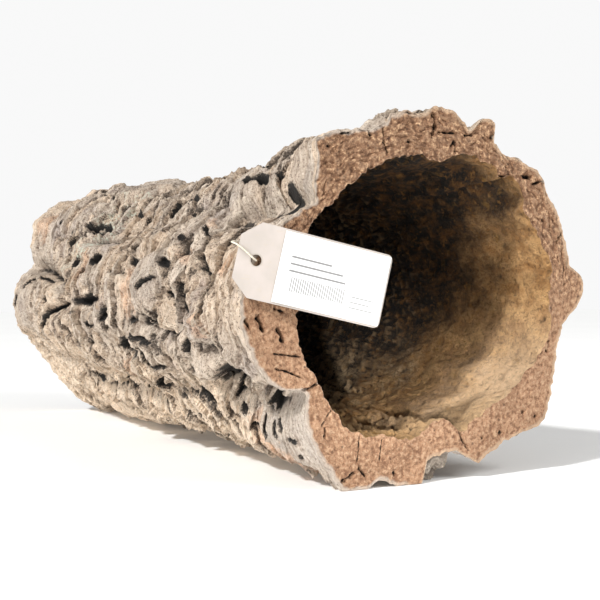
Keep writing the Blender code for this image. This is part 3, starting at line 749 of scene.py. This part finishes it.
    def sawn_face(self, outer, inner, rows, at, behind):
        """Rows of places between an outer and an inner ring, both left out, on a sawn end."""
        made, marks = [], {"crack": [], "lip": [], "ripple": []}
        for k in range(1, rows):
            radius = outer + (inner - outer) * k / rows
            flat = girth_places(np.full(len(radius), at), self.angle, radius)
            depth, crack, ripple = face_relief(radius, flat)
            made.append(self.place.world(radius, at + behind * depth, self.angle))
            marks["crack"].append(crack)
            marks["ripple"].append(ripple)
            marks["lip"].append(outer - radius)
        return np.array(made), {name: np.array(rows) for name, rows in marks.items()}


def flat_place(angle, radius):
    """Sideways and upward place, from the axis, of a point on a sawn face."""
    return radius * math.cos(math.radians(angle)), radius * math.sin(math.radians(angle))


def face_relief(radius, places):
    """How far a sawn face lies behind flat, how much is crack, and its crinkles."""
    x = places[..., 0]
    z = places[..., 2]
    crack = 0.0 * radius
    turn = places / radius[..., None] * (GIRTH_RADIUS / RIPPLE_ROUND)
    bend = lumps(places, 6.0, 41)
    turn[..., 1] = radius / RIPPLE_ACROSS + 2.2 * bend
    ripple = lumps(turn, 1.0, 42) + 0.35 * lumps(turn * (1.2, 2.0, 1.2), 1.0, 43)
    depth = SAW_WANDER * mixed_lumps(places, (9.0, 31, 1.0), (3.0, 32, 0.5))
    crisp = 0.2 + 0.8 * rises((z + 8.0 + 14.0 * lumps(places, 20.0, 52)) / 34.0)
    grains = lumps(places, 1.7, 53) * (1.2 - crisp)
    depth = depth - SAW_RIPPLE * ripple * crisp - 0.3 * grains
    ripple = ripple * crisp + 0.6 * grains
    if places[..., 1].max() > 0.0:
        return depth, crack, ripple
    wobble = 0.9 + 1.3 * lumps(places, 2.0, 30)
    for width, deep, line in FACE_CRACKS:
        near = on_line(x, z, [flat_place(*point) for point in line])[0]
        share = falls(near / (width * np.maximum(wobble, 0.35)))
        depth = np.maximum(depth, deep * share)
        crack = np.maximum(crack, share)
    for pit in FACE_PITS:
        pit_x, pit_z = flat_place(*pit)
        near = np.hypot(x - pit_x, z - pit_z)
        share = falls(near / (PIT_SIZE * np.maximum(wobble, 0.4)))
        depth = np.maximum(depth, PIT_DEPTH * share)
        crack = np.maximum(crack, share)
    return depth, crack, ripple


def even_seams(mesh, rows, kept):
    """Gives the section's edge columns the normals that its neighbours have there too."""
    count = kept.stop - kept.start
    normals = np.empty(len(mesh.loops) * 3, dtype=np.float32)
    mesh.corner_normals.foreach_get("vector", normals)
    normals = normals.reshape(-1, 3)
    corners = np.empty(len(mesh.loops), dtype=np.int32)
    mesh.loops.foreach_get("vertex_index", corners)
    sides = np.empty(len(mesh.polygons), dtype=np.int32)
    mesh.polygons.foreach_get("loop_total", sides)
    of_quad = np.repeat(sides == 4, sides)
    for column, full in ((0, kept.start), (count - 1, kept.stop - 1)):
        round_way = rows[:, full + 1] - rows[:, full - 1]
        along_way = np.roll(rows[:, full], -1, axis=0) - np.roll(rows[:, full], 1, axis=0)
        shared = np.cross(round_way, along_way)
        shared /= np.maximum(np.linalg.norm(shared, axis=1, keepdims=True), 1e-12)
        here = of_quad & (corners % count == column)
        found = shared[corners[here] // count]
        same = np.sum(found * normals[here], axis=1)
        found = found * np.sign(same)[:, None]
        # Corners on a sharp edge keep their own normals
        normals[here] = np.where(np.abs(same)[:, None] > 0.8, found, normals[here])
    mesh.normals_split_custom_set(normals.tolist())


def bark_section(place, name, index, finishes):
    """One closed section: outside, both sawn faces, the bore and the walls between sections."""
    columns = SECTION_COLUMNS
    section = Section(place, index)
    kept = section.kept
    outside, outer_radius, bark_marks = section.outside()
    bore, inner_radius, bore_marks = section.bore(outer_radius)
    front, front_marks = section.sawn_face(outer_radius[0], inner_radius[0], FACE_ROWS, 0.0, 1)
    rear, rear_marks = section.sawn_face(outer_radius[-1], inner_radius[-1], BACK_FACE_ROWS, LENGTH,
                                         -1)
    # The loop runs out along the mouth's face, back along the bark, in, and out along the bore
    parts = ((front, front_marks, -1), (outside, bark_marks, 1), (rear, rear_marks, 1),
             (bore, bore_marks, -1))
    wide = np.concatenate([made[::way] for made, _, way in parts])
    rows = wide[:, kept]
    count = columns + 1
    mesh = bpy.data.meshes.new(name)
    loops = len(rows)
    row, column = np.meshgrid(np.arange(loops), np.arange(columns), indexing="ij")
    below = row * count + column
    above = (row + 1) % loops * count + column
    quads = np.stack([below, below + 1, above + 1, above], axis=-1).reshape(-1, 4)
    walls = [list(range(0, loops * count, count)), list(range(columns, loops * count, count))]
    mesh.from_pydata(rows.reshape(-1, 3).tolist(), [], quads.tolist() + walls)
    for mark in MARKS:
        values = np.concatenate([marks.get(mark, np.zeros(made.shape[:2]))[::way]
                                 for made, marks, way in parts])
        flat = values[:, kept].reshape(-1)
        mesh.attributes.new(mark, "FLOAT", "POINT").data.foreach_set("value", flat)
    # Each face takes sawn cork, bark or bore from the row that it starts in
    zone = np.full(loops, 1)
    zone[len(front):len(front) + len(outside) - 1] = 0
    zone[len(front) + len(outside) + len(rear):-1] = 2
    materials = np.concatenate([np.repeat(zone, columns), [1, 1]]).astype(np.int32)
    mesh.polygons.foreach_set("material_index", materials)
    for finish in finishes:
        mesh.materials.append(finish)
    solid = bmesh.new()
    solid.from_mesh(mesh)
    ends = sorted(solid.faces, key=lambda face: -len(face.verts))[:2]
    for end in ends:
        for edge in end.edges:
            edge.smooth = False
    bmesh.ops.triangulate(solid, faces=ends, ngon_method="EAR_CLIP")
    bmesh.ops.recalc_face_normals(solid, faces=solid.faces)
    solid.to_mesh(mesh)
    solid.free()
    mesh.shade_smooth()
    mesh.set_sharp_from_angle(angle=math.radians(SHARP_FROM))
    even_seams(mesh, wide, kept)
    made = bpy.data.objects.new(name, mesh)
    bpy.context.collection.objects.link(made)
    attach(made, "root")
    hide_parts("cork_tube")
    return made


def both_ways(operation):
    """An operator on values and its reflected form, each of which adds a Math node."""
    def act(value, first, second):
        return value.finish.node("ShaderNodeMath", {"operation": operation}, [first, second])

    return (lambda value, other: act(value, value, other),
            lambda value, other: act(value, other, value))


class Value:
    """A number or colour in a material's nodes; arithmetic on it adds Math nodes."""

    __add__, __radd__ = both_ways("ADD")
    __sub__, __rsub__ = both_ways("SUBTRACT")
    __mul__, __rmul__ = both_ways("MULTIPLY")
    __truediv__, __rtruediv__ = both_ways("DIVIDE")
    __pow__, __rpow__ = both_ways("POWER")

    def __init__(self, finish, socket):
        self.finish = finish
        self.socket = socket

    def step(self, low, high):
        """Goes smoothly from 0 to 1 as this goes from low to high."""
        return self.finish.node(
            "ShaderNodeMapRange", {"interpolation_type": "SMOOTHSTEP"},
            {"Value": self, "From Min": low, "From Max": high})


def srgb(red, green, blue):
    """A colour given as it looks on screen, from 0 to 255."""
    return tuple(((c / 255.0 + 0.055) / 1.055) ** 2.4 if c > 10 else c / 3294.6
                 for c in (red, green, blue))


class Finish:
    """A material while its nodes are being made."""

    def __init__(self, name):
        self.material = bpy.data.materials.new(name)
        self.material.use_nodes = True
        self.nodes = self.material.node_tree.nodes
        self.links = self.material.node_tree.links
        self.shader = self.nodes["Principled BSDF"]
        self.place = self.node("ShaderNodeTexCoord", {}, {}, "Object")

    def node(self, kind, settings, inputs, output=0):
        """Adds a node with its settings and inputs, and gives one of its outputs."""
        made = self.nodes.new(kind)
        for name, value in settings.items():
            setattr(made, name, value)
        pairs = inputs.items() if isinstance(inputs, dict) else enumerate(inputs)
        for name, value in pairs:
            self.feed(made.inputs[name], value)
        return Value(self, made.outputs[output])

    def feed(self, socket, value):
        """Links a value to a socket, or sets the socket; a colour is given as it looks."""
        if isinstance(value, Value):
            self.links.new(value.socket, socket)
        elif socket.type == "RGBA":
            socket.default_value = (*srgb(*value), 1.0)
        else:
            socket.default_value = value

    def mark(self, name):
        """A number that the mesh carries at each vertex."""
        return self.node("ShaderNodeAttribute", {"attribute_name": name}, {}, "Fac")

    def vector(self, operation, *inputs, output=0):
        """Vector Math on places and directions."""
        return self.node("ShaderNodeVectorMath", {"operation": operation}, inputs, output)

    def part(self, places, axis):
        """One of the three numbers of a place."""
        return self.node("ShaderNodeSeparateXYZ", {}, [places], axis)

    def lifted(self, places, third):
        """Places moved along Y by a number."""
        return self.vector("ADD", places, self.node("ShaderNodeCombineXYZ", {}, {"Y": third}))

    def axis_place(self, tube):
        """Distance from the tube's axis, the direction from it, and distance behind the mouth."""
        off = self.vector("SUBTRACT", self.place, tuple(tube.mouth_centre()))
        flat = self.vector("MULTIPLY", off, (1.0, 0.0, 1.0))
        return (self.vector("LENGTH", flat, output="Value"), self.vector("NORMALIZE", flat),
                self.part(off, "Y"))

    def ringed(self, direction, run, third):
        """Places for noise that runs round the girth: lumps of run mm there, 1 unit of third."""
        turned = self.vector("MULTIPLY", direction, (GIRTH_RADIUS / run, 0.0, GIRTH_RADIUS / run))
        return self.lifted(turned, third)

    def stretched(self, x, y, z):
        """The object's places, scaled along each axis."""
        return self.vector("MULTIPLY", self.place, (x, y, z))

    def noise_at(self, places, detail=4.0, rough=0.55, twist=0.0, scale=1.0):
        """Noise from 0 to 1 with lumps of one unit of places."""
        return self.node("ShaderNodeTexNoise", {},
                         {"Vector": places, "Scale": scale, "Detail": detail, "Roughness": rough,
                          "Distortion": twist})

    def grain(self, size, detail=4.0, rough=0.55, places=None):
        """Noise from 0 to 1 with lumps of size in mm."""
        return self.noise_at(places or self.place, detail, rough, scale=1.0 / (size * MM))

    def blend(self, share, first, second):
        """Mixes two colours."""
        return self.node("ShaderNodeMix", {"data_type": "RGBA"}, {0: share, 6: first, 7: second}, 2)

    def paint(self, share, colour):
        """Lays a colour over what is there, where share is 1."""
        self.colour = self.blend(share, self.colour, colour)

    def bumps(self, *layers):
        """Bumps laid over each other: (height, its distance in mm, strength)."""
        relief = None
        for height, distance, strength in layers:
            inputs = {"Height": height, "Distance": distance * MM, "Strength": strength}
            if relief is not None:
                inputs["Normal"] = relief
            relief = self.node("ShaderNodeBump", {}, inputs)
        return relief

    def done(self, roughness, *layers):
        """Feeds the shader with the colour, the roughness and the bumps, if there are any."""
        self.feed(self.shader.inputs["Base Color"], self.colour)
        self.feed(self.shader.inputs["Roughness"], roughness)
        if layers:
            self.feed(self.shader.inputs["Normal"], self.bumps(*layers))
        return self.material


def spots(f, tube, places, noise):
    """1 in the patches at the given places on the bark, with edges that the noise frays."""
    share = 0.0
    for at, round_at, size in places:
        middle = tube.world(np.float64(GIRTH_RADIUS), np.float64(at), np.float64(round_at))
        far = f.vector("DISTANCE", f.place, tuple(middle.tolist()), output="Value")
        share = share + (far / (size * MM) + (noise - 0.5) * 3.0).step(1.1, 0.7)
    return share


def weathered_bark(tube):
    """Grey-tan outer bark: paler raised edges, partly wear and partly painted highlight; painted
    shade in recesses, hollows, holes and the gaps between slabs; tan and peach where layers split
    off.
    """
    f = Finish("weathered_bark")
    _, direction, _ = f.axis_place(tube)
    height = f.part(f.place, "Z") / MM
    broad = f.grain(46.0, 3.0)
    middle = f.grain(12.0, 5.0, 0.6)
    fine = f.grain(2.2, 6.0, 0.7)
    speck = f.grain(0.8, 3.0, 0.6)
    run = f.mark("level")
    lines = f.noise_at(f.ringed(direction, 13.0, run / 1.15), 5.0, 0.62, 0.35)
    hairs = f.noise_at(f.ringed(direction, 6.0, run / 0.5), 3.0, 0.6, 0.2)
    patch = f.mark("patch")
    number = f.mark("slab_number")
    scale = 1.0 / (12.0 * MM)
    across = f.stretched(scale, scale, scale)
    layers = f.noise_at(f.lifted(across, f.mark("strata") / 0.42), 2.0, 0.6)
    tan = f.blend(middle.step(0.35, 0.68), (188, 166, 143), (220, 199, 176))
    grey = f.blend(middle.step(0.38, 0.66), (170, 155, 140), (209, 193, 175))
    share = (broad + (number - 0.5) * 0.6).step(0.4, 0.6)
    f.colour = f.blend(share, tan, grey)
    lavender = f.grain(24.0, 4.0, 0.6, f.stretched(1.0, 1.1, 0.9)).step(0.56, 0.68)
    f.paint(lavender * 0.45, (164, 152, 150))
    f.paint(f.mark("plate_share") * 0.5, (170, 158, 146))
    # Paler low on the tube behind the mouth: painted light, as from below.
    underside = (height + (middle - 0.5) * 50.0).step(62.0, 22.0) * run.step(30.0, 70.0)
    f.paint(underside * 0.75, (232, 210, 184))
    at_mouth = (run + (middle - 0.5) * 30.0).step(50.0, 22.0) * height.step(75.0, 50.0)
    f.paint(at_mouth * 0.55, (168, 158, 148))
    peach = spots(f, tube, PEACH, middle)
    f.paint(peach * (0.2 + 0.6 * fine), (214, 170, 136))
    # Dark grey under the mouth's notch, where the tube meets the floor: painted shade.
    notch_shade = spots(f, tube, NOTCH_SHADE_SPOTS, middle)
    f.paint(notch_shade * 0.75, (98, 88, 76))
    # Paler on small raised places: partly wear, partly painted highlight.
    pale_and_lit = f.mark("nook").step(0.2, 1.4)
    f.paint(pale_and_lit * (0.45 - 0.3 * notch_shade), (212, 196, 175))
    f.paint(lines.step(0.48, 0.36) * (0.5 - 0.3 * patch), (104, 88, 74))
    f.paint(lines.step(0.53, 0.66) * 0.35, (222, 209, 192))
    f.paint(hairs.step(0.46, 0.32) * 0.4, (96, 82, 70))
    f.paint(layers.step(0.46, 0.34) * 0.35, (112, 94, 78))
    grit = f.grain(1.6, 5.0, 0.8)
    f.paint(grit.step(0.47, 0.36) * (0.45 + 0.4 * patch), (86, 71, 59))
    f.paint(speck.step(0.42, 0.32) * 0.6, (64, 54, 46))
    f.paint(grit.step(0.56, 0.66) * 0.55, (228, 216, 200))
    lichen = spots(f, tube, LICHEN, middle) * fine.step(0.5, 0.6)
    f.paint(lichen * 0.75, (196, 202, 184))
    shade = (0.0 - f.mark("nook") + (fine - 0.5) * 0.6).step(0.3, 1.5)
    deep = (0.0 - f.mark("hollow") + (fine - 0.5) * 1.6).step(1.5, 3.4)
    fray = (speck - 0.5) * 1.6 + (fine - 0.5) * 1.6
    gap = f.mark("gap") + fray
    slit = f.mark("slit") + fray
    f.paint(shade * 0.6, (88, 70, 56))
    # Painted shade beside and inside the gaps between slabs and chips.
    f.paint(gap.step(1.6, 0.5) * 0.4, (96, 75, 60))
    f.paint(slit.step(1.3, 0.5) * 0.35, (104, 84, 68))
    f.paint(slit.step(0.8, 0.1) * 0.9, (52, 42, 34))
    # Painted shade deep in the hollows.
    f.paint(deep * 0.9, (30, 25, 21))
    # Near black in the gaps and holes: painted shade.
    f.paint(gap.step(0.8, 0.2) * 0.96, (20, 17, 14))
    return f.done(0.88, (fine, 1.0, 0.5), (lines, 1.0, 0.7), (grit, 0.9, 0.7), (hairs, 0.35, 0.8),
                  (speck, 0.3, 0.6))


def sawn_cork(tube):
    """Fresh-cut cork: crinkled along its yearly rings above, stippled below, pores, and cracks whose
    insides are painted shade; darker towards the top, which is painted shade too.
    """
    f = Finish("sawn_cork")
    distance, direction, _ = f.axis_place(tube)
    height = f.part(f.place, "Z") / MM
    side = f.part(direction, "X")
    broad = f.grain(15.0, 3.0)
    wavy = distance / (RIPPLE_ACROSS * MM * 0.55) + f.grain(6.0, 3.0, 0.6) * 6.0
    crinkle = f.noise_at(f.ringed(direction, 1.7, wavy), 3.0, 0.6, 0.2)
    fine = f.grain(0.6, 3.0, 0.65)
    stipple = f.grain(1.15, 3.0, 0.7)
    crisp = (height + (broad - 0.5) * 40.0).step(45.0, 100.0)
    ripple = f.mark("ripple") * 0.8 + (crinkle - 0.5) * crisp * 1.2
    ripple = ripple + (stipple - 0.5) * (2.0 - crisp * 0.9) + (fine - 0.5) * 0.7
    f.colour = f.blend(broad.step(0.35, 0.65), (154, 117, 88), (172, 133, 102))
    f.paint(ripple.step(0.02, -0.38) * 0.8, (112, 76, 53))
    f.paint(ripple.step(0.04, 0.4) * 0.7, (198, 163, 131))
    # Darker towards the top of the face: painted shade.
    f.paint(height.step(30.0, 145.0) * 0.6, (122, 87, 60))
    bits = f.grain(1.7, 4.0, 0.75)
    f.paint(bits.step(0.49, 0.38) * crisp * 0.75, (84, 54, 35))
    f.paint(bits.step(0.53, 0.64) * crisp * 0.7, (222, 182, 142))
    stain = f.grain(3.4, 4.0, 0.7).step(0.62, 0.7)
    f.paint(stain * crisp * 0.75, (74, 49, 33))
    spacing = {"Vector": f.place, "Scale": 1.0 / (PORE_SPACING * MM)}
    pores = f.node("ShaderNodeTexVoronoi", {}, spacing, "Distance").step(0.14, 0.05)
    f.paint(pores * 0.7, (70, 46, 34))
    edge = f.mark("lip") + (broad - 0.5) * 3.0
    rind = f.blend(side.step(0.2, -0.3), (196, 168, 140), (196, 185, 172))
    f.paint(edge.step(2.0, 0.5) * 0.7, rind)
    # Near black in the cracks and pits: painted shade.
    f.paint(f.mark("crack").step(0.35, 0.8), (30, 22, 18))
    return f.done(0.92, (crinkle, 1.2, 1.0), (stipple, 0.7, 0.8), (fine, 0.35, 0.8))


def bore_cork(tube):
    """The bore: crumbly inner bark, grey-brown below; pale towards the mouth, partly painted light
    where the key falls; near black inside, which is painted shade over its dark brown.
    """
    f = Finish("bore_cork")
    _, direction, along = f.axis_place(tube)
    upward = f.part(direction, "Z")
    side = f.part(direction, "X")
    broad = f.grain(24.0, 4.0, 0.6)
    middle = f.grain(6.0, 6.0, 0.7, f.stretched(1.0, 0.6, 1.0))
    fine = f.grain(1.5, 5.0, 0.65)
    depth = along / MM
    pale = f.blend(middle.step(0.35, 0.65), (158, 114, 66), (210, 166, 112))
    # Dark brown to near black wherever the debris isn't: partly the inner bark's colour, partly
    # painted shade.
    dark = f.blend(middle.step(0.44, 0.64), (16, 13, 8), (104, 70, 32))
    debris = f.blend(middle.step(0.38, 0.62), (104, 84, 60), (186, 158, 122))
    below = (broad - 0.5 - upward - side * 0.25).step(0.0, 0.6)
    f.colour = f.blend(below * depth.step(230.0, 120.0), dark, debris)
    # Pale towards the mouth, low and on the right, where the key light falls into the bore: partly
    # paler cork, partly painted light.
    reach = depth + upward * 62.0 - side * 15.0
    crumb = f.grain(3.2, 5.0, 0.75)
    pale_and_lit = (reach + (broad + middle + crumb - 1.5) * 90.0).step(58.0, 16.0)
    f.paint(pale_and_lit * side.step(-0.9, 0.3), pale)
    # Paler still low on the right near the mouth, where the key light falls: painted light.
    key_lit_patch = (depth + (middle - 0.5) * 60.0).step(60.0, 12.0) * (0.0 - upward).step(-0.1, 0.6)
    f.paint(key_lit_patch * side.step(-0.3, 0.3) * 0.9, (222, 189, 152))
    ochre = f.grain(9.0, 5.0, 0.7).step(0.58, 0.68)
    band = (depth + (broad - 0.5) * 30.0).step(34.0, 14.0) * (0.0 - upward).step(0.5, 0.9)
    f.paint((ochre + band) * 0.4, (164, 122, 58))
    aged = 1.0 - 0.55 * pale_and_lit
    f.paint(crumb.step(0.49, 0.38) * 0.65 * aged, (38, 25, 12))
    f.paint(crumb.step(0.54, 0.66) * 0.5 * aged, (172, 122, 62))
    shade = f.mark("nook").step(0.2, 1.0)
    f.paint(shade * 0.75, (34, 25, 17))
    # Paler on raised crumbs: painted highlight.
    raised_highlight = (0.0 - f.mark("nook")).step(0.2, 1.0)
    f.paint(raised_highlight * 0.35, (176, 146, 108))
    f.paint(fine.step(0.46, 0.34) * (0.55 - 0.4 * key_lit_patch), (56, 42, 30))
    return f.done(0.94, (middle, 4.0, 1.0), (crumb, 2.4, 1.0), (fine, 0.9, 1.0))


class TagPlace:
    """The tag's left end on its middle line and its directions, as in the solid."""

    def __init__(self, tube):
        yaw = math.radians(TAG_YAW)
        roll = math.radians(TAG_ROLL)
        level = Vector((math.cos(yaw), -math.sin(yaw), 0.0))
        upright = Vector((0.0, 0.0, 1.0))
        self.along = level * math.cos(roll) + upright * math.sin(roll)
        self.up = upright * math.cos(roll) - level * math.sin(roll)
        stand = TAG_STAND + (HOLE_PLACE[0] - TAG_TOUCH) * math.tan(yaw)
        hole = Vector((HOLE_PLACE[0], -stand, HOLE_PLACE[1])) * MM
        self.start = tube.mouth_centre() + hole - self.along * (HOLE_INSET * MM)

    def on(self, f):
        """Millimetres along and up the tag, in a finish."""
        off = f.vector("SUBTRACT", f.place, tuple(self.start))
        return [f.vector("DOT_PRODUCT", off, tuple(way), output="Value") / MM
                for way in (self.along, self.up)]


def tag_board(tag):
    """Cream board with faint fibres, a little darker at its punched hole."""
    f = Finish("tag_board")
    x, y = tag.on(f)
    fibre = f.grain(1.3, 5.0, 0.6, f.stretched(0.4, 0.4, 1.6))
    cloud = f.grain(9.0, 3.0)
    f.colour = f.blend(cloud.step(0.3, 0.7), (177, 168, 160), (186, 176, 169))
    f.paint(fibre.step(0.45, 0.3) * 0.35, (186, 172, 150))
    near = ((x - HOLE_INSET) ** 2.0 + y ** 2.0) ** 0.5
    f.paint(near.step(2.9, 2.0) * 0.5, (150, 140, 124))
    return f.done(0.72, (fibre, 0.06, 0.5))


def printed(x, y, box, foot, soft):
    """1 inside a box of print, given as in RULED_LINES, with edges that soften."""
    low, high, left, right = box
    return (y.step(low - foot, low - foot + 0.15) * y.step(high + 0.1, high - 0.05)
            * x.step(left, left + soft) * x.step(right, right - soft))


def label_paper(tag):
    """White paper with plain ruled lines over a row of even bars."""
    f = Finish("label_paper")
    x, y = tag.on(f)
    fibre = f.grain(0.7, 4.0, 0.6)
    f.colour = f.blend(fibre.step(0.3, 0.7), (233, 233, 231), (240, 240, 238))
    wave = f.node("ShaderNodeMath", {"operation": "SINE"}, [x * (2.0 * math.pi / BAR_PITCH)])
    ink = wave.step(-0.2, 0.3) * printed(x, y, BAR_BLOCK, 0.05, 0.1)
    for ruled in RULED_LINES:
        ink = ink + printed(x, y, ruled, 0.1, 0.2)
    f.paint(ink * 0.78, (58, 56, 56))
    return f.done(0.42, (fibre, 0.03, 0.4))


def thread_fibre():
    """Off-white spun thread."""
    f = Finish("thread_fibre")
    twist = f.grain(0.35, 3.0, 0.6, f.stretched(0.5, 0.5, 1.6))
    f.colour = f.blend(twist.step(0.35, 0.65), (186, 176, 156), (222, 214, 198))
    return f.done(0.85, (twist, 0.1, 0.8))


def pale_floor():
    """Nearly even off-white."""
    f = Finish("pale_floor")
    cloud = f.grain(300.0, 2.0)
    f.colour = f.blend(cloud.step(0.2, 0.8), (252, 252, 251), (254, 254, 253))
    return f.done(0.9)


def studio(place):
    """A pale floor, a key light from the upper left, three fills, one in the bore, the camera."""
    floor_mesh = bpy.data.meshes.new("floor")
    half = FLOOR_SIZE / 2.0
    corners = [(-half, -half, 0), (half, -half, 0), (half, half, 0), (-half, half, 0)]
    floor_mesh.from_pydata(corners, [], [(0, 1, 2, 3)])
    floor_mesh.materials.append(pale_floor())
    floor = bpy.data.objects.new("floor", floor_mesh)
    bpy.context.collection.objects.link(floor)
    floor.location.z = -FLOOR_DROP
    floor.visible_shadow = False    # so that the low fill reaches the bark's underside

    def lamp(name, kind, energy, direction, aim_at=Vector(), **settings):
        """A light that shines along a direction, at a place given from the mouth's centre."""
        data = bpy.data.lights.new(name, kind)
        data.energy = energy
        for key, value in settings.items():
            setattr(data, key, value)
        made = bpy.data.objects.new(name, data)
        bpy.context.collection.objects.link(made)
        aim = Vector(direction).normalized()
        made.location = place.mouth_centre() + aim_at - aim * LAMP_DISTANCE
        made.rotation_euler = aim.to_track_quat("-Z", "Y").to_euler()

    lamp("key", "SUN", 3.1, (0.71, 0.287, -0.643), angle=math.radians(5.0))
    lamp("left_fill", "AREA", 11.0, (0.90, 0.36, -0.06), size=0.5)
    lamp("low_fill", "AREA", 8.5, (0.62, 0.30, 0.72), size=0.7)
    lamp("right_fill", "AREA", 12.0, (-0.35, 0.70, -0.60), size=0.7)
    lamp("bore_fill", "SPOT", 68.0, (0.56, 0.83, -0.02), aim_at=Vector((58.0, 104.0, -37.0)) * MM,
         spot_size=math.radians(4.2), spot_blend=1.0, shadow_soft_size=0.02)
    world = bpy.data.worlds.new("studio_air")
    bpy.context.scene.world = world
    world.use_nodes = True
    air = world.node_tree
    seen = air.nodes.new("ShaderNodeLightPath")
    white = air.nodes.new("ShaderNodeBackground")
    soft = air.nodes["Background"]
    for background, strength in ((white, BACKDROP_BRIGHTNESS), (soft, ROOM_BRIGHTNESS)):
        background.inputs["Strength"].default_value = strength
        background.inputs["Color"].default_value = (1.0, 1.0, 1.0, 1.0)
    pick = air.nodes.new("ShaderNodeMixShader")
    air.links.new(seen.outputs["Is Camera Ray"], pick.inputs[0])
    air.links.new(soft.outputs[0], pick.inputs[1])
    air.links.new(white.outputs[0], pick.inputs[2])
    air.links.new(pick.outputs[0], air.nodes["World Output"].inputs["Surface"])

    camera_data = bpy.data.cameras.new("camera")
    camera_data.lens = CAMERA_LENS
    camera_data.sensor_width = CAMERA_SENSOR
    camera_data.clip_start = 0.01
    camera_data.clip_end = 50.0
    camera = bpy.data.objects.new("camera", camera_data)
    bpy.context.collection.objects.link(camera)
    camera.location = place.mouth_centre() + CAMERA_FROM_MOUTH
    camera.rotation_euler = (math.radians(90.0), 0.0, -math.radians(CAMERA_YAW))
    bpy.context.scene.camera = camera
    bpy.context.scene.view_settings.view_transform = "Standard"


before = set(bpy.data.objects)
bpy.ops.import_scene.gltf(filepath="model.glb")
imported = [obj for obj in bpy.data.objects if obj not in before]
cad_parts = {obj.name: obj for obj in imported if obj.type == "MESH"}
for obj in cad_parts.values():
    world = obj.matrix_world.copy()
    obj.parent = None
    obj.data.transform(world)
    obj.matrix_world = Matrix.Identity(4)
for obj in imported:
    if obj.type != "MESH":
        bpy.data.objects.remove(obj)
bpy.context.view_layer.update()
tube_place = TubePlace()
studio(tube_place)
finishes = [weathered_bark(tube_place), sawn_cork(tube_place), bore_cork(tube_place)]
for index, section_name in enumerate(SECTIONS):
    bark_section(tube_place, section_name, index, finishes)
tag_place = TagPlace(tube_place)
for node, finish in (
    ("tag_card", tag_board(tag_place)),
    ("tag_label", label_paper(tag_place)),
    ("tag_thread", thread_fibre()),
):
    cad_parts[node].data.materials.clear()
    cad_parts[node].data.materials.append(finish)
